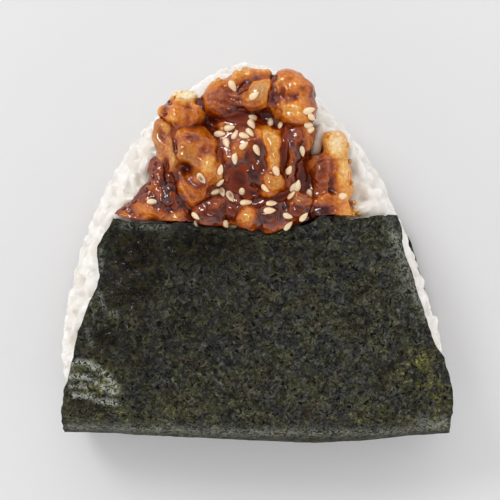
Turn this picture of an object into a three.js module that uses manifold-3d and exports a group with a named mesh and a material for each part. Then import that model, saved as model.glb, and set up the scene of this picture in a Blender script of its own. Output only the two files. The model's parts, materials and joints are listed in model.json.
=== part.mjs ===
// A triangular rice ball, 97 mm wide, lying on its back: pressed rice, fried pieces set into its upper
// front, sesame seeds scattered on them, and one strip of seaweed folded round the base from the front to
// the back.
// Millimetres, +Z up. X runs across the base, +Y points to the apex, and z = 0 is the surface it lies on.
import * as THREE from "three";
import { mergeVertices } from "three/addons/utils/BufferGeometryUtils.js";
import Module from "manifold-3d";

const wasm = await Module();
wasm.setup();

// ---------- Driving dimensions ----------
const HALF_THICKNESS = 16.2; // of the pressed rice
const MIDDLE_Z = 17.1; // height of the rice's widest level above the surface
const CENTRE = { x: 0, y: -6 }; // where the rice's section is thickest
const FACE_SQUARENESS = 7; // how flat the faces run before they round over
const SIDE_ROUNDNESS = 2.6; // how full the sides are: 2 is a half ellipse
const POCKET = { x: -3, y: 23, reachX: 25, reachY: 23, floor: 0.55, depth: 4.5 }; // holds the topping
const GAP = 0.3; // clearance between neighbouring pieces

const SHEET_THICKNESS = 0.4;
const SHEET_CLEARANCE = 0.75; // between the bare rice and the sheet's inner face
const BACK_Z = SHEET_THICKNESS + SHEET_CLEARANCE; // the flat back of the rice, which lies on the sheet
const FRONT_TOP_Y = 9.4; // the sheet's upper edge on the front
const BACK_TOP_Y = 12; // and on the back
const SHEET_COLUMNS = 14;
const SHEET_ROWS = 28;
const SHEET_GRIP = 1.1; // how sharply the sheet follows what lies under it, per millimetre

const BEAD_SIDES = 4; // a grain or a seed is a tapered bead with few sides
const BEAD_RINGS = 3;
const GRAIN = { length: 7, width: 3.6, depth: 3, taper: 0 };
const GRAIN_COUNT = 165;
const GRAIN_SPACING = 5;
const GRAIN_SUNK = 0.25; // how far a grain's middle lies below the bare rice
const GRAIN_ATTEMPTS = 6000;
const SEED = { length: 3.2, width: 1.9, depth: 1.1, taper: 0.3 };

const ORIGIN = { x: -0.5, y: -0.3 }; // where the middle of the object's box lies in the layout below

// The rice's outline at its widest level, from the apex clockwise.
const OUTLINE = [
  [-2, 47.6], [12.8, 40.8], [18.8, 34.4], [28.2, 23.2], [40.4, -4], [46.6, -30], [41.5, -43.4],
  [22, -46.2], [-24, -44.7], [-42, -43.2], [-48.6, -30], [-45.4, -4], [-33.8, 23.2], [-17, 41.2],
];

// The sheet's left and right edges by the height y on the front face, and on the back face.
const FRONT_EDGES = [
  { y: 9.4, left: -34.6, right: 34.6 },
  { y: 1, left: -39.4, right: 36.2 },
  { y: -6, left: -38.9, right: 38.4 },
  { y: -14, left: -42, right: 41.4 },
  { y: -24, left: -45, right: 44.8 },
  { y: -35, left: -47.6, right: 47.8 },
  { y: -46, left: -48.5, right: 48.2 },
];
const BACK_EDGES = [
  { y: 12, left: -38, right: 33 },
  { y: 4, left: -42.4, right: 39.6 },
  { y: -14, left: -48, right: 45.3 },
  { y: -46, left: -48.5, right: 48.2 },
];

// How far the fold round the base stands in from its own middle, by x.
const BASE_EDGE = [
  { x: -48, rise: 1.3 }, { x: -27, rise: 1.15 }, { x: -6, rise: 0 }, { x: 14, rise: -0.85 },
  { x: 30, rise: 0 }, { x: 40, rise: 0.6 }, { x: 48, rise: 1.05 },
];

// The fried pieces, each a cluster of lobes of batter: x, y, z of the middle, half sizes along x, y, z,
// and turn in degrees.
const FRIED_PIECES = {
  fried_top: [
    [-8.8, 37.2, 33.4, 5.6, 4.9, 6.2, 18],
    [-1.6, 41.6, 33.4, 6.2, 3, 5.2, 4],
    [0.4, 38.8, 35, 4.8, 4.4, 6.6, 10],
    [8.4, 39.6, 33.8, 5.8, 5, 6.6, -20],
    [9.2, 34.4, 34.4, 5.4, 4.4, 6.2, 0],
  ],
  fried_left: [
    [-15.4, 24.6, 34.4, 7, 6.4, 7.4, 0],
    [-11.8, 20.8, 35.6, 3.9, 5.4, 6.4, 0],
    [-15.4, 15.4, 34, 4.8, 5.2, 6.2, 40],
    [-22.2, 28.4, 32.6, 3.2, 4.6, 5, 8],
    [-21, 22, 32.6, 3.2, 5.4, 5.2, 12],
  ],
  fried_right: [
    [18.7, 25.2, 33.4, 2.9, 3.9, 5.2, 0],
    [20.2, 18, 32.6, 3, 6, 5.2, 0],
    [15.8, 19.2, 33.4, 4.6, 5.4, 5.8, 0],
    [17.2, 11.2, 33, 5.4, 4.8, 6, 0],
    [21.4, 9.6, 31.4, 3, 3, 4.4, 0],
  ],
  fried_corner: [
    [-17.4, 34.2, 33.6, 5, 4.6, 6, 0],
    [-18, 37.4, 32.6, 3.6, 2.4, 4.4, 0],
    [-21.2, 34.8, 32.2, 2.4, 2.4, 4, 0],
  ],
  fried_lower_left: [
    [-23.4, 12.6, 33.2, 6.2, 5.4, 6, 0],
    [-23.8, 18.6, 32.4, 2.9, 4.6, 5, 0],
    [-29.2, 9.8, 32, 5.4, 3.8, 4.6, 35],
    [-19.4, 8.6, 33, 5, 4.2, 5, -10],
  ],
  fried_centre: [
    [-2.8, 23, 33.2, 8.6, 9, 7, 0],
    [3, 25, 35.8, 3.2, 6.4, 6.6, 5],
    [3.4, 17.4, 35.4, 3.6, 4.6, 6, -10],
    [8.4, 24.4, 34.2, 3.4, 8, 6.2, 8],
    [11.4, 29, 33.6, 2.9, 4.8, 5.6, 0],
    [-4.4, 30.6, 32.6, 7, 3.8, 5.8, 0],
    [9.4, 17.6, 33, 3.8, 4.6, 5.2, 0],
  ],
  fried_front: [
    [-10.8, 10, 34, 5.4, 4.6, 5.8, 0],
    [-5.2, 12.6, 33.2, 5.6, 5, 4.8, 0],
    [-2.4, 8.4, 36, 2.8, 3.4, 4.8, 0],
    [3.4, 9.2, 34.6, 5, 4.6, 5.6, 0],
    [10.2, 11.6, 34.2, 3.9, 4, 5.4, 0],
    [12.4, 7.6, 32.4, 3.6, 3.4, 4.4, 0],
  ],
};

// Where the sesame seeds gather: middle of each patch, its half sizes, and how many lie in it.
const SEED_PATCHES = [
  { x: -3.5, y: 28.4, reachX: 4.6, reachY: 3.4, count: 9 },
  { x: 4, y: 31.6, reachX: 2.6, reachY: 1, count: 2 },
  { x: -2.5, y: 39, reachX: 4, reachY: 1.4, count: 2 },
  { x: 12.4, y: 32, reachX: 0.8, reachY: 3, count: 4 },
  { x: -9, y: 16.5, reachX: 1.6, reachY: 4, count: 5 },
  { x: -2.6, y: 13.4, reachX: 3.4, reachY: 1.2, count: 4 },
  { x: -7, y: 8, reachX: 7, reachY: 1.4, count: 4 },
  { x: 8.6, y: 14.6, reachX: 3, reachY: 4, count: 6 },
  { x: 6, y: 8.4, reachX: 4.4, reachY: 1.8, count: 4 },
  { x: 2, y: 22, reachX: 5, reachY: 3.6, count: 3 },
  { x: -22, y: 12.6, reachX: 4, reachY: 1, count: 1 },
];

const SEED_ATTEMPTS = 60; // tries for each patch
const SEED_HOLD = 0.2; // the least share of a seed that lies in its piece

// ---------- Helpers ----------
// A repeatable run of random numbers from 0 to 1.
function randomFrom(start) {
  let state = start;
  return () => {
    state = (state * 1664525 + 1013904223) % 4294967296;
    return state / 4294967296;
  };
}

function solidOf(geometry) {
  const bare = geometry.clone();
  for (const name of ["normal", "uv"]) bare.deleteAttribute(name);
  const merged = mergeVertices(bare, 1e-4);
  return new wasm.Manifold(new wasm.Mesh({
    numProp: 3,
    vertProperties: merged.attributes.position.array,
    triVerts: new Uint32Array(merged.index.array),
  }));
}

function geometryOf(solid) {
  const mesh = solid.getMesh();
  const geometry = new THREE.BufferGeometry();
  geometry.setAttribute("position", new THREE.BufferAttribute(mesh.vertProperties, 3));
  geometry.setIndex(new THREE.BufferAttribute(mesh.triVerts, 1));
  geometry.computeVertexNormals();
  return geometry;
}

// The largest of a solid's separate bodies: a cut can leave small scraps.
function largestBody(solid) {
  return solid.decompose().reduce((a, b) => (b.volume() > a.volume() ? b : a));
}

function join(solids) {
  return solids.reduce((whole, next) => whole.add(next));
}

// A smooth run through rows of { y, left, right } at the height y.
function edgeAt(rows, y, side) {
  const after = rows.findIndex((row) => row.y <= y);
  if (after === 0) return rows[0][side];
  if (after < 0) return rows[rows.length - 1][side];
  const [a, b] = [rows[after - 1], rows[after]];
  return THREE.MathUtils.lerp(a[side], b[side], (a.y - y) / (a.y - b.y));
}

// ---------- The pressed rice ----------
const outlineCurve = new THREE.CatmullRomCurve3(
  OUTLINE.map(([x, y]) => new THREE.Vector3(x - CENTRE.x, y - CENTRE.y, 0)), true, "centripetal",
);
const OUTLINE_STEPS = 400;
const outlineByAngle = outlineCurve.getPoints(OUTLINE_STEPS)
  .map((p) => ({ angle: Math.atan2(p.y, p.x), radius: Math.hypot(p.x, p.y) }))
  .sort((a, b) => a.angle - b.angle);

function outlineRadius(angle) {
  let low = 0;
  let high = outlineByAngle.length - 1;
  while (high - low > 1) {
    const middle = (low + high) >> 1;
    if (outlineByAngle[middle].angle < angle) low = middle;
    else high = middle;
  }
  const [a, b] = [outlineByAngle[low], outlineByAngle[high]];
  const share = b.angle > a.angle ? (angle - a.angle) / (b.angle - a.angle) : 0;
  return THREE.MathUtils.lerp(a.radius, b.radius, THREE.MathUtils.clamp(share, 0, 1));
}

// How far out a point lies: 0 at the centre and 1 on the outline.
function reachOf(x, y) {
  const dx = x - CENTRE.x;
  const dy = y - CENTRE.y;
  return Math.hypot(dx, dy) / outlineRadius(Math.atan2(dy, dx));
}

// Half thickness, as a share of the full one, at a given reach.
function fullness(reach) {
  return Math.pow(Math.max(0, 1 - Math.pow(reach, FACE_SQUARENESS)), 1 / SIDE_ROUNDNESS);
}

function pocketDepth(x, y) {
  const away = Math.hypot((x - POCKET.x) / POCKET.reachX, (y - POCKET.y) / POCKET.reachY);
  return POCKET.depth * (1 - THREE.MathUtils.smoothstep(away, POCKET.floor, 1));
}

// Rings from the middle of the back, round the side, to the middle of the front.
const BACK_REACHES = [0, 0.8, 0.93];
const FRONT_REACHES = [0.97, 0.9, 0.78, 0.62, 0.42, 0];
const CORE_SIDES = 36;

function riceCore() {
  const rings = [
    ...BACK_REACHES.map((reach) => ({ reach, side: -1 })),
    { reach: 1, side: 0 },
    ...FRONT_REACHES.map((reach) => ({ reach, side: 1 })),
  ];
  const positions = [];
  for (const { reach, side } of rings) {
    for (let i = 0; i < CORE_SIDES; i++) {
      const angle = (i / CORE_SIDES) * 2 * Math.PI - Math.PI;
      const radius = outlineRadius(angle) * reach;
      const x = CENTRE.x + radius * Math.cos(angle);
      const y = CENTRE.y + radius * Math.sin(angle);
      let z = MIDDLE_Z + side * HALF_THICKNESS * fullness(reach);
      if (side > 0) z -= pocketDepth(x, y);
      positions.push(x, y, Math.max(z, BACK_Z));
    }
  }
  const triangles = [];
  for (let ring = 0; ring < rings.length - 1; ring++) {
    for (let i = 0; i < CORE_SIDES; i++) {
      const a = ring * CORE_SIDES + i;
      const b = ring * CORE_SIDES + ((i + 1) % CORE_SIDES);
      if (rings[ring].reach > 0) triangles.push(a, b, b + CORE_SIDES);
      if (rings[ring + 1].reach > 0) triangles.push(a, b + CORE_SIDES, a + CORE_SIDES);
    }
  }
  const geometry = new THREE.BufferGeometry();
  geometry.setAttribute("position", new THREE.Float32BufferAttribute(positions, 3));
  geometry.setIndex(triangles);
  return solidOf(geometry);
}

// ---------- The fried pieces ----------
const CRAG_HEIGHT = 0.55;
const CRAG_WAVES = [ // the directions of the crust's waves, in radians per millimetre
  new THREE.Vector3(1.9, 0, 0.7), new THREE.Vector3(-0.9, 2.3, 0), new THREE.Vector3(0, 1.1, 2.9),
];
const LARGE_LOBE = 40; // a lobe whose half sizes multiply to more than this gets finer faces
const ROOM_COARSENESS = 0.07; // the room kept round a lobe has coarse faces, so it is this share larger
const DOME_DROOP = 0.5; // how fast the dome that covers a lobe falls towards the lobe's rim

// Shallow crags of the crust, in millimetres.
function crag(point) {
  const [first, second, third] = CRAG_WAVES.map((wave) => Math.sin(wave.dot(point)));
  return (CRAG_HEIGHT * (first * second + third)) / 2;
}

function lobe([x, y, z, halfX, halfY, halfZ, turn], isRoom = false) {
  const fine = !isRoom && halfX * halfY > LARGE_LOBE;
  const grow = isRoom ? GAP + ROOM_COARSENESS * Math.max(halfX, halfY) : 0;
  const geometry = new THREE.IcosahedronGeometry(1, fine ? 2 : 1);
  const placed = new THREE.Matrix4()
    .makeTranslation(x, y, z)
    .multiply(new THREE.Matrix4().makeRotationZ(THREE.MathUtils.degToRad(turn)))
    .multiply(new THREE.Matrix4().makeScale(halfX + grow, halfY + grow, halfZ + grow));
  const middle = new THREE.Vector3(x, y, z);
  const position = geometry.attributes.position;
  const point = new THREE.Vector3();
  for (let i = 0; i < position.count; i++) {
    point.fromBufferAttribute(position, i).applyMatrix4(placed);
    const outward = point.clone().sub(middle).normalize();
    point.addScaledVector(outward, crag(point));
    position.setXYZ(i, point.x, point.y, point.z);
  }
  return solidOf(geometry);
}

// A lobe seen from above: the height of its top, null outside it, and of a dome that covers it all.
function lobeTop([x, y, z, halfX, halfY, halfZ, turn], px, py) {
  const a = THREE.MathUtils.degToRad(-turn);
  const dx = (px - x) * Math.cos(a) - (py - y) * Math.sin(a);
  const dy = (px - x) * Math.sin(a) + (py - y) * Math.cos(a);
  const spread = (dx / halfX) ** 2 + (dy / halfY) ** 2;
  const top = spread < 1 ? z + halfZ * Math.sqrt(1 - spread) : null;
  return { top, cover: z + halfZ * (1 - DOME_DROOP * spread) };
}

// ---------- Grains and seeds ----------
// A bead that lies along the surface at a point, turned about the normal there and grown all round.
function beadSolid(size, point, normal, turn, grow = 0) {
  const geometry = new THREE.SphereGeometry(1, BEAD_SIDES, BEAD_RINGS);
  const position = geometry.attributes.position;
  for (let i = 0; i < position.count; i++) {
    const along = position.getY(i);
    const taper = 1 - size.taper * along;
    const x = position.getX(i) * (taper * size.width / 2 + grow);
    const z = position.getZ(i) * (taper * size.depth / 2 + grow);
    position.setXYZ(i, x, along * (size.length / 2 + grow), z);
  }
  const lean = new THREE.Quaternion().setFromUnitVectors(new THREE.Vector3(0, 0, 1), normal);
  const spin = new THREE.Quaternion().setFromAxisAngle(new THREE.Vector3(0, 0, 1), turn);
  geometry.applyQuaternion(lean.multiply(spin));
  geometry.translate(point.x, point.y, point.z);
  return solidOf(geometry);
}

function meets(solid, others) {
  return others.some((other) => other.intersect(solid).volume() > 0);
}

// The highest lobe under x, y: which piece it belongs to, and the point and normal there.
function topmost(x, y) {
  let best = null;
  for (const [name, lobes] of Object.entries(FRIED_PIECES)) {
    for (const each of lobes) {
      const { top } = lobeTop(each, x, y);
      if (top !== null && (!best || top > best.point.z)) {
        best = { name, each, point: new THREE.Vector3(x, y, top) };
      }
    }
  }
  if (!best) return null;
  const [cx, cy, cz, halfX, halfY, halfZ] = best.each;
  best.normal = new THREE.Vector3(
    (x - cx) / halfX ** 2, (y - cy) / halfY ** 2, (best.point.z - cz) / halfZ ** 2,
  ).normalize();
  return best;
}

// Seeds strewn over the fried pieces, each fused to the piece it lies on and clear of everything else.
function strewSeeds(pieces, keepClear) {
  const random = randomFrom(7);
  const strewn = { ...pieces };
  const taken = [];
  for (const { x, y, reachX, reachY, count } of SEED_PATCHES) {
    let left = count;
    for (let attempt = 0; attempt < SEED_ATTEMPTS && left > 0; attempt++) {
      const px = x + reachX * (2 * random() - 1);
      const py = y + reachY * (2 * random() - 1);
      const turn = random() * Math.PI;
      const spot = topmost(px, py);
      if (!spot || taken.some((other) => other.distanceTo(spot.point) < SEED.length)) continue;
      const seed = beadSolid(SEED, spot.point, spot.normal, turn);
      if (seed.intersect(pieces[spot.name]).volume() < SEED_HOLD * seed.volume()) continue;
      const others = Object.keys(pieces).filter((name) => name !== spot.name).map((name) => pieces[name]);
      const room = beadSolid(SEED, spot.point, spot.normal, turn, GAP);
      if (meets(room, [...others, ...keepClear])) continue;
      strewn[spot.name] = strewn[spot.name].add(seed);
      taken.push(spot.point);
      left--;
    }
  }
  return strewn;
}

// ---------- The seaweed strip ----------
const PATH_STEPS = 60; // for the front, and as many for the back
const PATH_DIVISIONS = 600; // for measuring along it
const FALL_LIMITS = { upper: 7, lower: 2.2, back: 1.6 }; // how far the sheet dips where the rice falls away
const FALL_RISE = { from: -36, to: -4 }; // the heights y between the lower and the upper limit
const FALL_BASE_Y = -24; // below this the dip is the same all the way round the base
const FALL_AT_TURN = 0.2; // the share of the dip that is left where the sheet turns round the base
const LEVEL_FALL = 0.16; // less fall than this is left level
const EDGE_DIP = { x: 3, left: 24, right: 9, depth: 5, fadesBy: 0.3 }; // the sag of the upper edge
const BASE_FADE = { from: -22, to: -42 }; // the heights y over which the uneven fold of the base begins
const RIPPLE = { height: 0.22, up: 0.31, skew: 0.17, across: 0.23, start: 1.3 };

// The sheet's path in the plane x = 0: down the front, round the base and up the back.
function sheetPath() {
  const base = outlineRadius(-Math.PI / 2);
  const points = [];
  for (let i = 0; i <= PATH_STEPS; i++) {
    const down = Math.sin((i / PATH_STEPS) * Math.PI / 2);
    const reach = THREE.MathUtils.lerp((CENTRE.y - FRONT_TOP_Y) / base, 1, down);
    const z = MIDDLE_Z + HALF_THICKNESS * fullness(Math.abs(reach));
    points.push(new THREE.Vector3(0, CENTRE.y - reach * base, z));
  }
  for (let i = 1; i <= PATH_STEPS; i++) {
    const up = Math.cos((i / PATH_STEPS) * Math.PI / 2);
    const reach = THREE.MathUtils.lerp((CENTRE.y - BACK_TOP_Y) / base, 1, up);
    const z = MIDDLE_Z - HALF_THICKNESS * fullness(Math.abs(reach));
    points.push(new THREE.Vector3(0, CENTRE.y - reach * base, Math.max(z, BACK_Z)));
  }
  return new THREE.CatmullRomCurve3(points, false, "centripetal");
}

const path = sheetPath();
path.arcLengthDivisions = PATH_DIVISIONS;

// How far the front edge sags where it crosses the topping.
function edgeSag(x) {
  const away = x - EDGE_DIP.x;
  return EDGE_DIP.depth * Math.exp(-((away / (away < 0 ? EDGE_DIP.left : EDGE_DIP.right)) ** 2));
}

function baseRise(x, y) {
  const after = Math.max(1, BASE_EDGE.findIndex((row) => row.x >= x));
  const [a, b] = [BASE_EDGE[after - 1], BASE_EDGE[after]];
  const share = THREE.MathUtils.clamp((x - a.x) / (b.x - a.x), 0, 1);
  const shown = THREE.MathUtils.smoothstep(-y, -BASE_FADE.from, -BASE_FADE.to);
  return shown * THREE.MathUtils.lerp(a.rise, b.rise, share);
}

// How far the sheet follows the rice down: off the middle the rice falls away under it.
function dip(x, y, z) {
  const raised = THREE.MathUtils.smoothstep(y, FALL_RISE.from, FALL_RISE.to);
  const onFront = THREE.MathUtils.lerp(FALL_LIMITS.lower, FALL_LIMITS.upper, raised);
  const turned = THREE.MathUtils.smoothstep(Math.abs(z - MIDDLE_Z), 0, HALF_THICKNESS);
  const limit = (z > MIDDLE_Z ? onFront : FALL_LIMITS.back) * THREE.MathUtils.lerp(FALL_AT_TURN, 1, turned);
  const level = fullness(reachOf(x, Math.max(y, FALL_BASE_Y)));
  const fall = Math.max(0, HALF_THICKNESS * (1 - level) - LEVEL_FALL);
  return limit * (1 - Math.exp(-fall / limit));
}

function rippleAt(x, y) {
  const wave = Math.sin(RIPPLE.up * y + RIPPLE.skew * x) * Math.sin(RIPPLE.across * x + RIPPLE.start);
  return RIPPLE.height * wave;
}

// The sheet's middle surface: share 0 to 1 from the front edge to the back edge, side -1 to 1 across.
function sheetPoint(share, side) {
  const sag = Math.max(0, 1 - share / EDGE_DIP.fadesBy) * edgeSag(side * FRONT_EDGES[0].right);
  const lowered = share + sag / path.getLength();
  const at = path.getPointAt(lowered);
  const along = path.getTangentAt(lowered);
  const outward = new THREE.Vector3(0, along.z, -along.y); // to the front, below the base, then to the back
  const front = at.z > MIDDLE_Z;
  const rows = front ? FRONT_EDGES : BACK_EDGES;
  const x = THREE.MathUtils.lerp(edgeAt(rows, at.y, "left"), edgeAt(rows, at.y, "right"), (side + 1) / 2);
  const ripple = front ? rippleAt(x, at.y) : 0;
  const stand = SHEET_CLEARANCE + SHEET_THICKNESS / 2 - dip(x, at.y, at.z) + ripple;
  const point = new THREE.Vector3(x, at.y + baseRise(x, at.y), at.z).addScaledVector(outward, stand);
  if (front) point.z = drapedOver(point);
  point.z = Math.max(point.z, SHEET_THICKNESS / 2);
  return point;
}

// Near its upper edge on the front the sheet rides over the fried pieces.
function drapedOver(point) {
  let sum = Math.exp(SHEET_GRIP * (point.z - MIDDLE_Z));
  for (const each of Object.values(FRIED_PIECES).flat()) {
    const cover = lobeTop(each, point.x, point.y).cover + GAP + SHEET_THICKNESS;
    sum += Math.exp(SHEET_GRIP * (cover - MIDDLE_Z));
  }
  return MIDDLE_Z + Math.log(sum) / SHEET_GRIP;
}

function sheetNormal(share, side) {
  const step = 1e-3;
  const [above, below] = [Math.max(0, share - step), Math.min(1, share + step)];
  const [left, right] = [Math.max(-1, side - step), Math.min(1, side + step)];
  const down = sheetPoint(below, side).sub(sheetPoint(above, side));
  const over = sheetPoint(share, right).sub(sheetPoint(share, left));
  return down.cross(over).normalize();
}

function sheetSolid(thickness) {
  const positions = [];
  const count = (SHEET_COLUMNS + 1) * (SHEET_ROWS + 1);
  for (const face of [1, -1]) {
    for (let row = 0; row <= SHEET_ROWS; row++) {
      for (let column = 0; column <= SHEET_COLUMNS; column++) {
        const share = row / SHEET_ROWS;
        const side = (2 * column) / SHEET_COLUMNS - 1;
        const here = sheetPoint(share, side);
        here.addScaledVector(sheetNormal(share, side), (face * thickness) / 2);
        positions.push(here.x, here.y, here.z);
      }
    }
  }
  const triangles = [];
  const corner = (row, column) => row * (SHEET_COLUMNS + 1) + column;
  for (let row = 0; row < SHEET_ROWS; row++) {
    for (let column = 0; column < SHEET_COLUMNS; column++) {
      const [a, b] = [corner(row, column), corner(row, column + 1)];
      const [c, d] = [corner(row + 1, column), corner(row + 1, column + 1)];
      triangles.push(a, c, b, b, c, d);
      triangles.push(a + count, b + count, c + count, b + count, d + count, c + count);
    }
  }
  const rim = [];
  for (let column = 0; column < SHEET_COLUMNS; column++) rim.push(corner(0, column));
  for (let row = 0; row < SHEET_ROWS; row++) rim.push(corner(row, SHEET_COLUMNS));
  for (let column = SHEET_COLUMNS; column > 0; column--) rim.push(corner(SHEET_ROWS, column));
  for (let row = SHEET_ROWS; row > 0; row--) rim.push(corner(row, 0));
  rim.forEach((a, i) => {
    const b = rim[(i + 1) % rim.length];
    triangles.push(a, b, b + count, a, b + count, a + count);
  });
  const geometry = new THREE.BufferGeometry();
  geometry.setAttribute("position", new THREE.Float32BufferAttribute(positions, 3));
  geometry.setIndex(triangles);
  return solidOf(geometry);
}

// ---------- The bare rice's grains ----------
// The surface's triangles, each with the area up to and with it, to draw points evenly from.
function facesOf(solid) {
  const mesh = solid.getMesh();
  const corner = (i) => new THREE.Vector3().fromArray(mesh.vertProperties, mesh.triVerts[i] * mesh.numProp);
  const faces = [];
  let upTo = 0;
  for (let i = 0; i < mesh.triVerts.length; i += 3) {
    const face = new THREE.Triangle(corner(i), corner(i + 1), corner(i + 2));
    upTo += face.getArea();
    faces.push({ face, upTo });
  }
  return faces;
}

function drawPoint(faces, random) {
  const pick = random() * faces[faces.length - 1].upTo;
  const { face } = faces.find((each) => each.upTo >= pick);
  const [u, v] = [random(), random()];
  const [p, q] = u + v > 1 ? [1 - u, 1 - v] : [u, v];
  const point = face.a.clone()
    .addScaledVector(face.b.clone().sub(face.a), p)
    .addScaledVector(face.c.clone().sub(face.a), q);
  return { point, normal: face.getNormal(new THREE.Vector3()) };
}

// Grains laid flat on the bare rice, evenly apart, where neither the sheet nor the topping covers it.
function layGrains(core, keepClear) {
  const faces = facesOf(core);
  const random = randomFrom(11);
  const grains = [];
  const taken = [];
  for (let attempt = 0; attempt < GRAIN_ATTEMPTS && grains.length < GRAIN_COUNT; attempt++) {
    const { point, normal } = drawPoint(faces, random);
    const turn = random() * Math.PI;
    if (taken.some((other) => other.distanceTo(point) < GRAIN_SPACING)) continue;
    point.addScaledVector(normal, -GRAIN_SUNK);
    const room = beadSolid(GRAIN, point, normal, turn, GAP);
    if (room.boundingBox().min[2] < 0 || meets(room, keepClear)) continue;
    taken.push(point);
    grains.push(beadSolid(GRAIN, point, normal, turn));
  }
  return grains;
}

// ---------- Putting it together ----------
const sheet = sheetSolid(SHEET_THICKNESS);
const sheetRoom = sheetSolid(SHEET_THICKNESS + 2 * GAP);
const core = riceCore();

// Each fried piece gives way to the sheet, to the rice below it and to the pieces before it.
const barePieces = {};
const rooms = [];
for (const [name, lobes] of Object.entries(FRIED_PIECES)) {
  let piece = join(lobes.map((each) => lobe(each)));
  for (const room of [...rooms, sheetRoom, core.translate([0, 0, GAP])]) piece = piece.subtract(room);
  barePieces[name] = largestBody(piece);
  rooms.push(join(lobes.map((each) => lobe(each, true))));
}
const friedPieces = strewSeeds(barePieces, [sheetRoom]);
const rice = largestBody(join([core, ...layGrains(core, [...Object.values(friedPieces), sheet])]));

const FINISHES = {
  rice: { color: 0xf4f1ea, roughness: 0.55 },
  nori: { color: 0x1d2119, roughness: 0.6 },
  fried: { color: 0x9a5a22, roughness: 0.3 },
};

const group = new THREE.Group();
group.position.set(-ORIGIN.x, -ORIGIN.y, 0);

function addPiece(name, solid, finish) {
  const material = new THREE.MeshStandardMaterial({ ...finish, metalness: 0 });
  const mesh = new THREE.Mesh(geometryOf(solid), material);
  mesh.name = name;
  group.add(mesh);
}

addPiece("rice", rice, FINISHES.rice);
addPiece("nori", sheet, FINISHES.nori);
for (const [name, solid] of Object.entries(friedPieces)) addPiece(name, solid, FINISHES.fried);

export default group;
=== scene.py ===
# %% [markdown]
# # A rice ball with a fried topping
# A triangular rice ball lies on its back. Pressed rice carries a heap of fried pieces under a glossy glaze,
# sesame seeds lie on the glaze, and a sheet of roasted seaweed is folded round the base.
# This lesson dresses a plain solid model of it: each solid is replaced by a finer mesh of the same form.

# %% Load the solids
import itertools
import json
import math

import bpy
import numpy as np
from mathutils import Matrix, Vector
from mathutils.bvhtree import BVHTree

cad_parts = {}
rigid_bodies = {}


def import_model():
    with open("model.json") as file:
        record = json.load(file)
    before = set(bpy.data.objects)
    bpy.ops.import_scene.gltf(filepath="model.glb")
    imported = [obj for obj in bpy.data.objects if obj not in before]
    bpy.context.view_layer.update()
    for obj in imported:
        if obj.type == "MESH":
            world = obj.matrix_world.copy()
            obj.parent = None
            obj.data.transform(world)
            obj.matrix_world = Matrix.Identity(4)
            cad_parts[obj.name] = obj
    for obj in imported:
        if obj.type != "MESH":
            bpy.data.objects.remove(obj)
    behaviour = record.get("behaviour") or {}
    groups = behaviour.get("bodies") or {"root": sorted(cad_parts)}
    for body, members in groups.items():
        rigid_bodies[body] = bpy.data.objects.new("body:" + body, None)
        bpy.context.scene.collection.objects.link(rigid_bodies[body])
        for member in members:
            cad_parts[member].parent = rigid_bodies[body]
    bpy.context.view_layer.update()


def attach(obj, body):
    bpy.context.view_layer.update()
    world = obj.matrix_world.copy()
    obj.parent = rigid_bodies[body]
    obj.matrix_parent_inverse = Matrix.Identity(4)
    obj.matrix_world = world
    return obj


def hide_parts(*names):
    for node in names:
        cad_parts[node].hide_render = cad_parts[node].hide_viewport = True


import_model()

# %% [markdown]
# ## Units and helpers
# The forms below are laid out in millimetres, from the same layout point as the solids, and become metres
# only when a mesh is made. Noise has to give the same lumps on every run and on many thousand points at once,
# so it is worked out here from whole-number hashes instead of being drawn from a random generator.

# %% Units
MM = 0.001
# The layout point, in millimetres, that the part's origin stands on.
LAYOUT_ORIGIN = np.array([-0.5, -0.3, 0.0])


def to_metres(points):
    return (np.asarray(points, float) - LAYOUT_ORIGIN) * MM


def to_layout(points):
    return np.asarray(points, float) / MM + LAYOUT_ORIGIN


# %% Smooth steps and noise
def smoothstep(value, low, high):
    share = np.clip((value - low) / (high - low), 0, 1)
    return share * share * (3 - 2 * share)


def cell_values(cells, seed):
    """A repeatable number from -1 to 1 for each whole-number cell."""
    x, y, z = (cells[..., axis].astype(np.uint32) for axis in range(3))
    mixed = x * np.uint32(374761393) + y * np.uint32(668265263) + z * np.uint32(2246822519)
    mixed = mixed + np.uint32(seed * 3266489917 % 2**32)
    mixed = (mixed ^ (mixed >> np.uint32(13))) * np.uint32(1274126177)
    mixed = mixed ^ (mixed >> np.uint32(16))
    return mixed.astype(np.float64) / 2**31 - 1


def noise(points, size, seed=0):
    """Smooth noise from -1 to 1, with lumps about size wide."""
    scaled = np.asarray(points, float) / size
    cells = np.floor(scaled).astype(np.int64)
    part = scaled - cells
    part = part * part * (3 - 2 * part)
    total = np.zeros(len(scaled))
    for corner in itertools.product((0, 1), repeat=3):
        weight = np.prod(np.where(corner, part, 1 - part), axis=1)
        total += weight * cell_values(cells + np.array(corner), seed)
    return total


def layered_noise(points, size, layers, seed=0):
    """Noise with finer and finer layers, each half as wide and half as strong as the one before."""
    total = sum(noise(points, size / 2**i, seed + i) / 2**i for i in range(layers))
    return total / (2 - 2 ** (1 - layers))


# %% [markdown]
# ## Mesh helpers
# Every piece starts as an array of points. One helper makes the mesh, with smooth shading and any numbers
# that its material reads at each point; another closes a grid of points into a thin slab with two faces
# and a rim.

# %% Make a mesh
def make_piece(name, points, faces, values=None):
    """An object at the origin from layout points, with named numbers at each point for its material."""
    mesh = bpy.data.meshes.new(name)
    mesh.from_pydata(to_metres(points).tolist(), [], faces.tolist() if hasattr(faces, "tolist") else faces)
    mesh.polygons.foreach_set("use_smooth", np.ones(len(mesh.polygons), bool))
    for key, numbers in (values or {}).items():
        mesh.attributes.new(key, "FLOAT", "POINT").data.foreach_set("value", np.asarray(numbers, np.float32))
    mesh.update()
    piece = bpy.data.objects.new(name, mesh)
    bpy.context.scene.collection.objects.link(piece)
    return piece


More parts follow.
